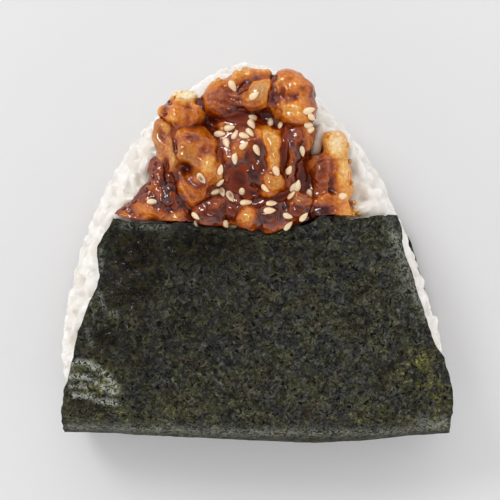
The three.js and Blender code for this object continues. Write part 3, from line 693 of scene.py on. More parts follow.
def sheet_surface(travelled, side):
    """The sheet's middle surface at millimetres travelled from the front edge and side from -1 to 1."""
    top_x = side * RIGHT_EDGE[-1, 1]
    sag = FRONT_TOP_Y - np.interp(top_x, *TOP_EDGE.T)
    share = travelled / PATH_LENGTH
    travelled = travelled + np.maximum(0, 1 - share / SAG_FADES_BY) * sag
    y, z = along_path(PATH, travelled).T
    direction = along_path(PATH_DIRECTIONS, travelled)
    outward = np.stack([np.zeros(len(y)), direction[:, 1], -direction[:, 0]], -1)
    front = z > MIDDLE_Z
    blend = smoothstep(z, MIDDLE_Z - 8, MIDDLE_Z + 8)
    left = np.interp(y, *LEFT_EDGE.T) * blend + np.interp(y, *BACK_LEFT.T) * (1 - blend)
    right = np.interp(y, *RIGHT_EDGE.T) * blend + np.interp(y, *BACK_RIGHT.T) * (1 - blend)
    x = left + (right - left) * (side + 1) / 2
    turned = smoothstep(np.abs(z - MIDDLE_Z), 0, HALF_THICKNESS)
    front_dip = DIP_BASE + DIP_TOP * smoothstep(y, *DIP_HEIGHTS)
    limit = (DIP_BACK + blend * front_dip) * (FALL_AT_TURN + (1 - FALL_AT_TURN) * turned)
    fall = np.maximum(0, HALF_THICKNESS * (1 - fullness(reach_of(x, np.maximum(y, -24)))) - LEVEL_FALL)
    followed = limit * (1 - np.exp(-fall / limit))
    rise = np.interp(x, *BASE_EDGE.T) * smoothstep(-y, *BASE_FADE)
    points = np.stack([x, y + rise, z], -1) + outward * (SHEET_RISE - followed)[:, None]
    total = np.exp(DRAPE_GRIP * (points[:, 2] - MIDDLE_Z))
    for lobe in itertools.chain(*LOBES.values()):
        total += np.exp(DRAPE_GRIP * (lobe_cover(lobe, points) + DRAPE_GAP - MIDDLE_Z))
    points[:, 2] = np.where(front, MIDDLE_Z + np.log(total) / DRAPE_GRIP, points[:, 2])
    points[:, 2] = np.maximum(points[:, 2], SHEET_THICKNESS / 2)
    return points, outward


# %% Seaweed: damp places, painted shade and painted sheen, olive places
# Damp places, darker and glossier, and one dab of painted shade: x, y, half width, half height, turn,
# strength.
DAMP_AND_SHADE = [
    (-30, -1, 9, 10, 0, 1), (-14, 1, 12, 6, 0, 0.9), (-31, -10, 8, 5, 25, 0.9), (-38, -22, 7, 6, 0, 0.8),
    (-32, -24, 9, 6, 0, 0.6), (8, -1, 12, 4, 0, 0.4), (-14, -14, 14, 7, 0, 0.35),
    # Painted shade: the sheet darkened just below the crinkled patch.
    (-41, -36.8, 6, 1.6, -12, 0.9),
]
# Painted sheen: pale lines where the sheet's edges, folds and the bend round the base would catch the light.
SHEEN_LINES = [  # points along the line, strength, half width
    ([(-33, 6.6), (-28, 6.4), (-22, 6.2)], 0.35, 0.6), ([(-38.4, 1), (-38.2, -4)], 0.3, 0.5),
    ([(-38.8, -10), (-37.6, -13.6), (-34, -15.4)], 0.35, 0.5), ([(-42, -19), (-40.4, -23)], 0.3, 0.5),
    ([(34, 4.4), (36.4, -3), (38.4, -9.4), (42, -16.4)], 0.4, 0.9),
    ([(32.6, 7), (33.4, 0), (36.4, -10)], 0.2, 1.2),
    ([(-47, -43.4), (-30, -43.6), (0, -44.6), (30, -44.4), (47, -43)], 0.35, 0.9),
    ([(41, -41.6), (46, -42)], 0.3, 1.2),
]
OLIVE = [
    (-38, -39.5, 8, 2.6, 0, 0.9), (40, -29, 4.5, 6.5, 0, 1), (44.5, -36, 3, 8, 0, 0.8),
    (-36, -16, 6, 5, 0, 0.5),
    (-10, 5, 16, 2, 0, 0.3), (30, -40, 14, 3, 0, 0.4), (-20, -39, 14, 3, 0, 0.4), (-45, -12, 4, 10, 0, 0.5),
    (-40, -31, 7, 6, 0, 1),
]


def dabbed(points, dabs):
    total = np.zeros(len(points))
    for x, y, half_x, half_y, turn, strength in dabs:
        total = np.maximum(total, strength * dab_weight(points, x, y, half_x, half_y, turn))
    return total


def damp_at(points):
    return dabbed(points, DAMP_AND_SHADE)


# %% [markdown]
# The relief of the sheet: broad waves where the rice pushes from below, a sharp crease at the left, a
# crinkled patch near the lower left corner where it got damp and dried, fine felt, and nibbled edges.

# %% Seaweed: relief
CRINKLED = (-40, -32.2, 6.2, 5.6, 0)  # x, y, half width, half height, turn in degrees
CRINKLES = [
    ([(-46, -27.4), (-42.6, -27), (-39.4, -28.2), (-36.4, -30.6), (-34.2, -33.6)], 0.55, 0.5),
    ([(-46.6, -30.4), (-43.4, -30), (-40.2, -31), (-37.6, -33), (-35.4, -34.2)], 0.6, 0.5),
    ([(-46, -32.6), (-43, -32.6), (-40.4, -33.8)], 0.4, 0.4),
    ([(-45.6, -35), (-42.4, -34.9), (-38.6, -36.2), (-35, -37)], 0.6, 0.5),
    ([(-44.6, -28.8), (-41.4, -29.4), (-38.4, -31.6)], -0.45, 0.4),
    ([(-45.6, -33.8), (-42, -33.9), (-38.6, -34.9), (-35.4, -35.6)], -0.5, 0.4),
]
CREASES = [  # points along the crease, height, width
    ([(-36.4, 2), (-33.6, -2.4), (-30, -4.2), (-26.2, -3.2)], -0.5, 0.7),
    ([(-29, 4), (-27.6, -1), (-24.8, -5)], 0.4, 0.8),
    ([(-18, 4), (-14.4, 0.4), (-9, -1.4)], 0.35, 0.9),
    ([(-36, -16.6), (-31.4, -14), (-25.6, -13.2)], 0.45, 0.8),
    ([(28, -21), (33, -22.4), (38.6, -20)], 0.35, 0.8), ([(-12, -24), (-4, -27), (6, -26.4)], 0.25, 1),
    ([(-37, -12), (-33, -10.4), (-29.6, -8.2), (-25, -5.8), (-21.5, -4)], 0.16, 1.6),
    ([(-33.5, 5.4), (-29, 5.2), (-24, 5.4), (-20, 5)], -0.35, 0.6),
    ([(32, 6), (33.6, 0.6), (35.6, -4.4), (38.4, -10.4), (41.4, -16)], 0.5, 0.9),
    ([(30, 6), (31.6, 0.6), (33.4, -4.4), (36.4, -11)], -0.35, 1),
]


def crinkled(points):
    x, y, half_x, half_y, turn = CRINKLED
    across, along = in_lobe_axes(points, x, y, half_x, half_y, turn)
    away = np.maximum(np.abs(across), np.abs(along)) * 0.5 + np.hypot(across, along) * 0.5
    return 1 - smoothstep(away + 0.12 * noise(points, 2.5, 61), 0.75, 1.05)


def sheet_relief(points, front):
    x, y = points[:, 0], points[:, 1]
    relief = 0.3 * layered_noise(points, 6, 2, 62) + 0.18 * layered_noise(points, 1.7, 2, 63)
    stray_x, stray_y = 0.3 * noise(points, 1.5, 64), 0.3 * noise(points, 1.5, 68)
    relief += front * line_relief(CREASES + CRINKLES, x + stray_x, y + stray_y)
    relief += front * 0.45 * crinkled(points) * layered_noise(points, 1.2, 2, 65)
    relief += front * 0.25 * damp_at(points) * np.abs(layered_noise(points, 2.2, 2, 69))
    left_wave = np.exp(-((x + 38) / 3) ** 2) * np.sin(0.9 * y + 0.5 * x)
    return relief + front * 0.25 * left_wave * smoothstep(-y, -6, 24)


def nibbled(travelled, side):
    """Moves the sheet's edges in and out by fractions of a millimetre."""
    edge = np.abs(side) ** 24
    place = np.stack([travelled, np.sign(side) * 40, np.zeros(len(side))], -1)
    sideways = 0.45 * layered_noise(place, 2.2, 3, 66) * edge
    place = np.stack([side * 46, np.zeros(len(side)), np.zeros(len(side))], -1)
    ends = np.exp(-travelled / 1.2) + np.exp(-(PATH_LENGTH - travelled) / 1.2)
    return sideways * np.sign(side), 0.5 * layered_noise(place, 1.9, 3, 67) * ends


# %% Seaweed: the mesh
FRONT_STEP, BACK_STEP, SIDE_COLUMNS = 0.41, 1.3, 224
TURN_Y = -42  # where the path starts to turn round the base
FINE_PAST_TURN = 22  # how far the fine steps go on past that
back_at = PATH_STEPS[np.argmax(PATH[:, 1] < TURN_Y)] + FINE_PAST_TURN
fine_rows = np.arange(0, back_at, FRONT_STEP)
coarse_rows = np.linspace(back_at, PATH_LENGTH, int((PATH_LENGTH - back_at) / BACK_STEP))
travelled = np.concatenate([fine_rows, coarse_rows])
side = np.linspace(-1, 1, SIDE_COLUMNS)
sheet_rows = len(travelled)
travelled, side = (grid.ravel() for grid in np.meshgrid(travelled, side, indexing="ij"))
sideways, endways = nibbled(travelled, side)
middle, outward = sheet_surface(np.clip(travelled + endways, 0, PATH_LENGTH), side)
middle[:, 0] += sideways
front = smoothstep(middle[:, 2], MIDDLE_Z, MIDDLE_Z + 10)
middle += outward * (sheet_relief(middle, front) * (0.35 + 0.65 * front))[:, None]
middle[:, 2] = np.maximum(middle[:, 2], SHEET_THICKNESS / 2 + 0.02)
thickness = np.full((sheet_rows, SIDE_COLUMNS), SHEET_THICKNESS)
points, faces = slab(middle.reshape(sheet_rows, SIDE_COLUMNS, 3), thickness)
points[:, 2] = np.maximum(points[:, 2], 0)
nori = make_piece("seaweed", points, faces)
print("seaweed:", len(faces), "faces,", round(PATH_LENGTH), "mm long")

# %% [markdown]
# What differs from place to place on the sheet: it is damp and nearly black near the topping at the left,
# with painted shade just below the crinkled patch; painted pale sheen lies along the crinkles' ridges, its
# edges and its folds, where they would catch the light; and it is olive where it is thin. These are painted
# like the glaze, as dabs, and kept as numbers at each point.

# %% Seaweed: numbers for its material
points = points_of(nori)
on_front = smoothstep(points[:, 2], 14, 24)
CRINKLE_SHEEN = 2.6  # how strongly the painted sheen lies along the crinkles' ridges
frosted = line_relief(SHEEN_LINES, *points[:, :2].T) + CRINKLE_SHEEN * line_relief(CRINKLES, *points[:, :2].T)
set_values(
    nori,
    damp=damp_at(points) * on_front,
    frost=np.clip(frosted, 0, 1) * on_front,
    olive=dabbed(points, OLIVE) * on_front,
)

# %% [markdown]
# The fried pieces lie under the sheet's front edge, so whatever stands too high there is pressed down.

# %% Fried pieces: press them down under the sheet
TUCK = 0.33  # how far the crust stays below the middle of the sheet


def tuck_under(piece, sheet_tree):
    points = points_of(piece)
    near = np.flatnonzero(points[:, 1] < np.interp(points[:, 0], *TOP_EDGE.T) + 0.6)
    for i in near:
        hit = drop(sheet_tree, *points[i, :2])
        if hit:
            points[i, 2] = min(points[i, 2], hit[0][2] - TUCK)
    move_points(piece, points)
    return len(near)


sheet_tree = tree_of(nori)
for name, piece in fried.items():
    tucked = tuck_under(piece, sheet_tree)
    if tucked:
        print(name, "has", tucked, "points near the sheet's edge")

# %% [markdown]
# ## Where the glaze and the browning lie
# Batter browns unevenly and the glaze gathers where it can't run off, so both are painted on as soft dabs:
# each dab pulls the browning (0 pale, 0.35 golden, 0.7 tan, 1 brown) and the thickness of the amber film
# towards its own numbers. Two dabs also darken places that lie in shade, as painted shade. Noise breaks the
# dabs up. A texture would need an image; dabs stay editable.

# %% Fried pieces: browning and glaze
BROWNING = {
    "fried_top": (0.5, 1.0), "fried_corner": (0.38, 0.95), "fried_left": (0.66, 0.75),
    "fried_lower_left": (0.6, 2.1),
    "fried_centre": (0.62, 1.0), "fried_front": (0.6, 1.7), "fried_right": (0.42, 0.9),
}
# x, y, half width, half height, browning, glaze.
DABS = {
    "fried_top": [
        (8.5, 40.5, 3.5, 3, 0.4, 0.7), (7, 34.5, 3.8, 2.2, 0.35, 0.55), (11.5, 37, 2.4, 2.4, 0.5, 1.0),
        # The first dab below darkens the top piece's narrow right edge: thick glaze and painted shade away
        # from the light.
        (13.6, 37, 1.2, 4.5, 0.7, 1.8), (0.8, 39.5, 2.6, 2.2, 0.62, 0.35), (-4, 37, 3, 2, 0.5, 0.7),
        (-4, 43, 4, 1.2, 0.45, 0.8), (-10, 37, 2, 3, 0.55, 1.3), (-6, 34.4, 6, 1.4, 0.8, 2.0),
        (4.2, 37.5, 0.8, 3, 0.7, 1.7),
    ],
    "fried_corner": [
        (-19, 34, 2.5, 2.2, 0.35, 1.1), (-15.6, 33.5, 2, 2, 0.4, 0.9), (-22.4, 35, 1.1, 1.1, 0.8, 1.4),
        (-16.4, 36.4, 2.8, 1, 0.3, 0.5), (-17.4, 38.8, 4, 2.1, 0, 0),
    ],
    "fried_left": [
        (-15.5, 27.6, 2.6, 1.2, 0.85, 1.4), (-12, 21, 2.4, 2.8, 0.5, 0.3), (-21, 30, 2, 2, 0.6, 0.2),
        (-24, 27, 1, 5, 0.75, 0.6), (-18.5, 22, 1.5, 3, 0.7, 0.9), (-15.5, 15, 3.5, 1.8, 0.75, 0.7),
        (-19.8, 17, 1.2, 4, 0.7, 1.3), (-17.2, 20.6, 1.7, 1.1, 0.95, 0.7),
    ],
    "fried_lower_left": [
        (-25, 15.5, 2.5, 3, 0.6, 1.2), (-29, 10.5, 3, 2, 0.7, 1.1), (-26, 10, 2.5, 1.6, 0.45, 1.3),
        (-20.4, 9, 3, 1.8, 0.65, 0.5), (-32.5, 9, 1.5, 1.5, 0.6, 0.7), (-21.6, 14, 1.2, 5, 0.8, 2.2),
    ],
    "fried_centre": [
        (1.8, 28.8, 2.2, 1.9, 0.55, 0.5), (4, 25, 1.7, 4, 0.5, 0.45), (3.5, 21, 1.6, 2.6, 0.45, 0.55),
        (4, 16.8, 2.6, 2.6, 0.6, 0.5), (-7, 28, 4, 3, 0.75, 0.8), (-5, 23, 3, 3, 0.7, 0.8),
        (-7.5, 20, 1.8, 3, 0.7, 0.6),
        (9.8, 26, 2, 4, 0.8, 1.5), (7, 22, 1, 4, 0.8, 2.0), (-3.6, 18.4, 3.2, 4, 0.8, 2.4),
        # This dab paints the deep recess beside the right piece nearly black: thick glaze and painted shade.
        (10.4, 20.6, 2, 4.5, 0.9, 3.0),
    ],
    "fried_front": [
        (-11.5, 11.2, 2.6, 1.6, 0.7, 1.2), (-11, 8.6, 4, 1.6, 0.8, 2.2), (-2.4, 8.9, 2, 2.6, 0.45, 0.45),
        (3.4, 9, 3.2, 2.6, 0.85, 2.1),
        (9, 13, 2.2, 1.6, 0.75, 1.0), (9.8, 9.4, 2, 2, 0.8, 1.7), (13, 8.6, 2.2, 2, 0.9, 2.8),
    ],
    "fried_right": [
        (18.8, 25.8, 2.6, 3.2, 0.14, 0.1), (20.9, 20, 1.7, 4.8, 0.35, 0.35), (21.6, 14, 1.5, 3, 0.4, 0.5),
        (22.4, 9.5, 1.8, 1.8, 0.4, 0.6), (14.8, 20, 2.8, 4, 0.75, 1.7), (17.4, 17.2, 1.8, 2, 0.6, 1.2),
        (17, 12.8, 2.4, 2.2, 0.6, 1.2), (15.4, 9.6, 2.8, 2, 0.9, 2.6),
    ],
}


# Where skin or meat shows through the batter: x, y, half width, half height, turn in degrees, strength.
SKIN = [
    (-24.6, 30, 1, 3.6, 4, 1), (-20.8, 27.4, 1.4, 4.6, 4, 0.8), (-1.6, 38.6, 3.4, 2.6, 10, 0.8),
    (-15.2, 22.4, 2.4, 1.6, -20, 0.7),
    (-3.6, 22.6, 3.6, 3, 0, 0.6), (-4, 18, 2, 2.6, 0, 0.9), (9.4, 26.4, 1.6, 2.6, 0, 0.8),
    (11.2, 12.4, 2.2, 2.4, 0, 0.6),
    (-12.4, 39.2, 2, 1.2, 30, 0.6), (12.4, 37.4, 1.4, 3, 20, 0.5), (3.6, 9.4, 2.4, 2, 0, 0.6),
    (-14.8, 19.6, 1.2, 0.9, 0, 0.8),
    (-26, 17.6, 1.4, 2.6, 0, 0.6), (14.6, 21, 1.4, 2, 0, 0.4),
]
PROUD_DRAINS = 0.25  # how much thinner the glaze is on what stands proud
CREASE_HOLDS = 1.3  # how much thicker it is in a crease
EDGE_OF_SAUCE = 2.2  # crust less than this above the sauce is soaked
GLAZED = 1.38


def value_of(piece, name):
    numbers = np.empty(len(piece.data.vertices))
    piece.data.attributes[name].data.foreach_get("value", numbers)
    return numbers


def paint_crust(name, piece, sunk, above_sauce):
    """Browning and glaze at each point, from how far it lies below its surroundings and above the sauce."""
    points = points_of(piece)
    proud, folded = value_of(piece, "proud"), value_of(piece, "folded")
    brown, glaze = (np.full(len(points), value) for value in BROWNING[name])
    for x, y, half_x, half_y, dab_brown, dab_glaze in DABS[name]:
        weight = dab_weight(points, x, y, half_x, half_y)
        brown += (dab_brown - brown) * weight
        glaze += (dab_glaze - glaze) * weight
    brown += 0.25 * layered_noise(points, 3.4, 2, 31)
    glaze *= GLAZED + 0.6 * layered_noise(points, 4, 2, 37)
    glaze += 0.6 * np.clip(sunk, -0.4, 3) - PROUD_DRAINS * proud - CREASE_HOLDS * folded
    glaze += 1.4 * (1 - smoothstep(above_sauce, -0.3, EDGE_OF_SAUCE)) ** 2
    set_values(piece, brown=np.clip(brown, 0, 1), glaze=np.clip(glaze, 0, 4), skin=dabbed(points, SKIN))


# %% The height of the topping, seen from above
CELL = 0.35
FIELD_X = np.arange(-37, 27, CELL)
FIELD_Y = np.arange(2, 47, CELL)


def blurred(field, cells):
    reach = int(3 * cells)
    weights = np.exp(-0.5 * (np.arange(-reach, reach + 1) / cells) ** 2)
    weights /= weights.sum()
    padded = np.pad(field, reach, mode="edge")
    rows = np.apply_along_axis(np.convolve, 1, padded, weights, mode="valid")
    return np.apply_along_axis(np.convolve, 0, rows, weights, mode="valid")


def field_at(field, x, y):
    """Values of a field at points between its cells."""
    column = np.clip((x - FIELD_X[0]) / CELL, 0, len(FIELD_X) - 1.001)
    row = np.clip((y - FIELD_Y[0]) / CELL, 0, len(FIELD_Y) - 1.001)
    i, j = row.astype(int), column.astype(int)
    u, v = row - i, column - j
    low = field[i, j] * (1 - v) + field[i, j + 1] * v
    high = field[i + 1, j] * (1 - v) + field[i + 1, j + 1] * v
    return low * (1 - u) + high * u


FLOOR_OF_TOPPING = 29.5
crust_tree = tree_of(*fried.values())
topping_height = np.full((len(FIELD_Y), len(FIELD_X)), FLOOR_OF_TOPPING)
for i, y in enumerate(FIELD_Y):
    for j, x in enumerate(FIELD_X):
        hit = drop(crust_tree, x, y)
        if hit:
            topping_height[i, j] = max(hit[0][2], FLOOR_OF_TOPPING)
is_topping = (topping_height > FLOOR_OF_TOPPING + 1).astype(float)
print("topping height:", topping_height.min().round(1), "to", topping_height.max().round(1), "mm")

# %% [markdown]
# ## The sauce
# Glaze that has run together fills the crevices between the pieces and stands in a few pools. It is a sheet
# whose height follows the blurred height of the topping, so that it lies low in hollows, and it is kept only
# where it lies above the crust or a little below it. The crust itself then cuts its edge.

# %% Sauce
POOLS = [  # x, y, half width, half height, turn in degrees, how far the pool is raised
    (-4, 18, 3.4, 4.4, 0, 0.5), (10.4, 20.4, 2, 4.6, 5, 0.3), (-5, 33, 6.5, 1.8, -4, 0.8),
    (3.4, 33, 3, 2, 0, 0.3), (-6.2, 9.6, 1.8, 3, 10, 0.7),
    (13.6, 9.8, 1.5, 2.2, 0, 0.5), (-20.6, 13, 1.2, 5.2, 12, 0.4), (0.4, 12.4, 3, 1.4, 10, 0.5),
    (7, 27.6, 1.4, 3.6, 5, 0.3),
]
# Where no sauce stands: as above, but how far its level is lowered.
DRY = [(14.8, 26.6, 2.2, 3.6, 0, 6), (-17.2, 20.7, 2.6, 2, -25, 3)]
SAUCE_BASE = -0.8  # its level from the blurred height of the topping
SAUCE_BLUR = 1.9  # how widely that height is blurred
SAUCE_SUNK = 0.35  # how far below the crust it is still kept
SAUCE_FILM = 0.5  # its thickness as a sheet
WELL_ON_TOPPING = 0.66  # the share of topping round a place that the sauce needs


def sauce_level():
    """The height of the sauce over the whole field, also where the crust stands above it."""
    grid_x, grid_y = np.meshgrid(FIELD_X, FIELD_Y)
    flat = np.stack([grid_x.ravel(), grid_y.ravel(), np.zeros(grid_x.size)], -1)
    raised = np.zeros(len(flat))
    for x, y, half_x, half_y, turn, lift in POOLS:
        raised = np.maximum(raised, (lift - SAUCE_BASE) * dab_weight(flat, x, y, half_x, half_y, turn))
    level = blurred(topping_height, SAUCE_BLUR / CELL) + SAUCE_BASE + raised.reshape(grid_x.shape)
    for x, y, half_x, half_y, turn, drop_by in DRY:
        level -= drop_by * dab_weight(flat, x, y, half_x, half_y, turn).reshape(grid_x.shape)
    level += 0.12 * noise(flat, 2.2, 51).reshape(grid_x.shape)
    return level - 1.6 * (1 - smoothstep(grid_y - np.interp(grid_x, *TOP_EDGE.T), 0, 2.5))


def lowest_near(field):
    """The lowest of each cell and its eight neighbours."""
    rows = np.minimum(field, np.minimum(np.roll(field, 1, 0), np.roll(field, -1, 0)))
    return np.minimum(rows, np.minimum(np.roll(rows, 1, 1), np.roll(rows, -1, 1)))


def sauce_sheet(level):
    grid_x, grid_y = np.meshgrid(FIELD_X, FIELD_Y)
    covered = level > lowest_near(topping_height) - SAUCE_SUNK
    covered &= blurred(is_topping, 2 / CELL) > WELL_ON_TOPPING
    covered &= grid_y > np.interp(grid_x, *TOP_EDGE.T) - 1
    quads = grid_faces(*grid_x.shape)
    kept = quads[covered.ravel()[quads].all(axis=1)]
    used, index = np.unique(kept, return_inverse=True)
    upper = index.reshape(kept.shape)
    height = level.ravel()[used]
    under = height - SAUCE_FILM
    x, y = grid_x.ravel()[used], grid_y.ravel()[used]
    top, bottom = np.stack([x, y, height], -1), np.stack([x, y, under], -1)
    edges = np.concatenate([np.stack([upper[:, k], upper[:, (k + 1) % 4]], -1) for k in range(4)])
    twins = set(map(tuple, edges.tolist()))
    rim = np.array([[b, a, a + len(used), b + len(used)] for a, b in twins if (b, a) not in twins])
    faces = np.concatenate([upper, upper[:, ::-1] + len(used), rim])
    depth = height - topping_height.ravel()[used]
    return np.concatenate([top, bottom]), faces, np.concatenate([depth, depth])


level = sauce_level()
surroundings = blurred(topping_height, 1.6 / CELL)
for name, piece in fried.items():
    x, y, z = points_of(piece).T
    paint_crust(name, piece, field_at(surroundings, x, y) - z, z - field_at(level, x, y))
points, faces, depth = sauce_sheet(level)
sauce = make_piece("sauce", points, faces, {"depth": np.clip(depth, 0, 4)})
print("sauce:", len(faces), "faces, up to", depth.max().round(1), "mm deep")

# %% [markdown]
# ## The rice
# The core is the smooth pressed form; grains lie in its skin. A Geometry Nodes tree spreads a few grain
# shapes over the core at a least distance from each other, lays each along the skin at a random turn with a
# little tilt and size of its own, and sinks it by a number kept on the core, which is deeper under the
# seaweed.
# One tree does this for every grain with a dozen nodes, and every number can be changed.

# %% Rice: the core
CORE_SIDES = 190
inner_reaches = np.linspace(0.04, 0.9, 24)
rim_reaches = 1 - 0.1 * np.cos(np.linspace(0, math.pi / 2, 12))[1:] ** 1.5
CORE_REACHES = np.concatenate([inner_reaches, rim_reaches])
GRAIN_ROOM = 1.1  # the core keeps this far inside the smooth form, for the grains


def rice_core():
    angle = np.linspace(-math.pi, math.pi, CORE_SIDES, endpoint=False)
    radius = outline_radius(angle)
    rings = []
    for reach, way in [(r, -1) for r in CORE_REACHES] + [(r, 1) for r in CORE_REACHES[-2::-1]]:
        x = RICE_CENTRE[0] + (radius - GRAIN_ROOM) * reach * np.cos(angle)
        y = RICE_CENTRE[1] + (radius - GRAIN_ROOM) * reach * np.sin(angle)
        z = MIDDLE_Z + way * (HALF_THICKNESS - 0.5) * fullness(reach)
        z = z - pocket_depth(x, y) if way > 0 else np.maximum(z, BACK_Z + 0.6) + 0 * x
        rings.append(np.stack([x, y, z + 0 * x], -1))
    faces = grid_faces(len(rings), CORE_SIDES, loop=True).tolist()
    faces = [list(reversed(face)) for face in faces]
    last = (len(rings) - 1) * CORE_SIDES
    faces.append(list(range(CORE_SIDES)))
    faces.append(list(range(last, last + CORE_SIDES))[::-1])
    return np.concatenate(rings), faces


points, faces = rice_core()
core = make_piece("rice_core", points, faces)
print("rice core:", len(faces), "faces")

# %% Rice: where grains lie, and how deep
GRAIN = {"length": 6.2, "width": 3.3, "depth": 2.9}
GRAIN_TOP = 1.6  # how far a grain stands above the core where nothing holds it down
UNDER_SHEET = 9.0  # no grains further than this inside the sheet's edges, where none can be seen

nori_tree = tree_of(nori)
points, normals = points_of(core), normals_of(core)


def room_above(point, normal):
    """How far a ray along the normal goes before it meets the seaweed, up to 4 mm."""
    start = Vector(to_metres(point))
    place, _, _, distance = nori_tree.ray_cast(start, Vector(normal), 4 * MM)
    return distance / MM if place else 4.0


room = np.array([room_above(point, normal) for point, normal in zip(points, normals)])
sink = np.clip(GRAIN_TOP - room + 0.1, 0, 2.2)
sink = np.maximum(sink, np.clip(-normals[:, 2] * GRAIN_TOP + 0.1 - points[:, 2], 0, 2))


def well_under_sheet(points):
    x, y, z = points.T
    front = (y < np.interp(x, *TOP_EDGE.T) - UNDER_SHEET) & (x > np.interp(y, *LEFT_EDGE.T) + UNDER_SHEET)
    front &= (x < np.interp(y, *RIGHT_EDGE.T) - UNDER_SHEET) & (z > MIDDLE_Z)
    back = (y < BACK_TOP_Y - UNDER_SHEET) & (x > np.interp(y, *BACK_LEFT.T) + UNDER_SHEET)
    back &= (x < np.interp(y, *BACK_RIGHT.T) - UNDER_SHEET) & (z <= MIDDLE_Z)
    return front | back


topping_cover = blurred(is_topping, 3)
inside_field = (points[:, 0] > FIELD_X[0]) & (points[:, 0] < FIELD_X[-1]) & (points[:, 1] > FIELD_Y[0])
covered = field_at(topping_cover, points[:, 0], points[:, 1]) > 0.97
under_topping = inside_field & (points[:, 2] > MIDDLE_Z) & covered
bare = ~(well_under_sheet(points) | under_topping)
set_values(core, bare=bare, sink=sink)
print("share of the core with grains:", round(float(bare.mean()), 2))


# %% Rice: grain shapes
def grain_shape(bend, taper, waist):
    """A cooked grain: an ellipsoid with blunt ends, a little bent and fuller at one end."""
    points, faces = ball_points(6, 8)
    points = points[:, [2, 0, 1]]
    along = points[:, 0]
    girth = (1 + taper * along) * (1 - waist * np.exp(-((along / 0.35) ** 2)))
    half_sizes = [GRAIN[side] / 2 for side in ("length", "width", "depth")]
    shaped = points * np.stack([np.ones(len(points)), girth, girth], -1) * half_sizes
    shaped[:, 1] += bend * (along**2 - 0.4)
    return shaped, faces


def hidden_collection(name, shapes):
    """Shapes for a node tree to place, in a collection that the scene doesn't show."""
    collection = bpy.data.collections.new(name)
    for number, (points, faces, *values) in enumerate(shapes):
        piece = make_piece(f"{name} {number}", points + LAYOUT_ORIGIN, faces, values[0] if values else None)
        bpy.context.scene.collection.objects.unlink(piece)
        collection.objects.link(piece)
    return collection


grain_shapes = hidden_collection("grain shape", [
    grain_shape(0.5, 0.1, 0.03), grain_shape(-0.35, -0.08, 0.0), grain_shape(0.1, 0.16, 0.06),
])

# %% [markdown]
# ## Node trees that place small things
# Two trees do all the placing. The first spreads shapes over a surface by itself; the second sets shapes on
# points that are listed one by one. Both end by turning the copies into one real mesh.


# %% Node helpers
def add_node(tree, kind, inputs=None, **settings):
    """A node with its settings, and its inputs set or linked by name or number."""
    made = tree.nodes.new(kind)
    for key, value in settings.items():
        setattr(made, key, value)
    for key, value in (inputs or {}).items():
        if isinstance(value, bpy.types.NodeSocket):
            tree.links.new(value, made.inputs[key])
        else:
            made.inputs[key].default_value = value
    return made


def new_group(name, kind, inputs, outputs):
    """An empty node group with named inputs and outputs, given as (name, socket type, default value)."""
    tree = bpy.data.node_groups.new(name, kind)
    for label, socket_kind, *value in inputs:
        socket = tree.interface.new_socket(name=label, in_out="INPUT", socket_type=socket_kind)
        if value:
            socket.default_value = value[0]
    for label, socket_kind in outputs:
        tree.interface.new_socket(name=label, in_out="OUTPUT", socket_type=socket_kind)
    return tree, tree.nodes.new("NodeGroupInput").outputs, tree.nodes.new("NodeGroupOutput")


def read_attribute(tree, name, kind="FLOAT"):
    made = add_node(tree, "GeometryNodeInputNamedAttribute", {"Name": name}, data_type=kind)
    return made.outputs["Attribute"]


def pick_shapes(tree, shapes):
    inputs = {"Collection": shapes, "Separate Children": True, "Reset Children": True}
    return add_node(tree, "GeometryNodeCollectionInfo", inputs).outputs[0]


def turned_locally(tree, rotation, angle):
    inputs = {0: rotation, 1: angle}
    return add_node(tree, "FunctionNodeRotateRotation", inputs, rotation_space="LOCAL").outputs[0]


def random_vector(tree, low, high, seed):
    inputs = {"Min": low, "Max": high, "Seed": seed}
    return add_node(tree, "FunctionNodeRandomValue", inputs, data_type="FLOAT_VECTOR").outputs["Value"]


def random_whole(tree, low, high, seed):
    made = add_node(tree, "FunctionNodeRandomValue", data_type="INT")
    for socket in made.inputs:
        if socket.type == "INT" and socket.name in ("Min", "Max", "Seed"):
            socket.default_value = {"Min": low, "Max": high, "Seed": seed}[socket.name]
    return next(socket for socket in made.outputs if socket.type == "INT")


def finish_tree(tree, output, points, instance, index, rotation, scale, material):
    """Sets shapes on points, makes them real and gives them their material."""
    inputs = {"Points": points, "Instance": instance, "Pick Instance": True, "Instance Index": index}
    placed = add_node(tree, "GeometryNodeInstanceOnPoints", {**inputs, "Rotation": rotation, "Scale": scale})
    real = add_node(tree, "GeometryNodeRealizeInstances", {"Geometry": placed.outputs["Instances"]})
    dressed = {"Geometry": real.outputs["Geometry"], "Material": material}
    finished = add_node(tree, "GeometryNodeSetMaterial", dressed)
    tree.links.new(finished.outputs["Geometry"], output.inputs["Geometry"])


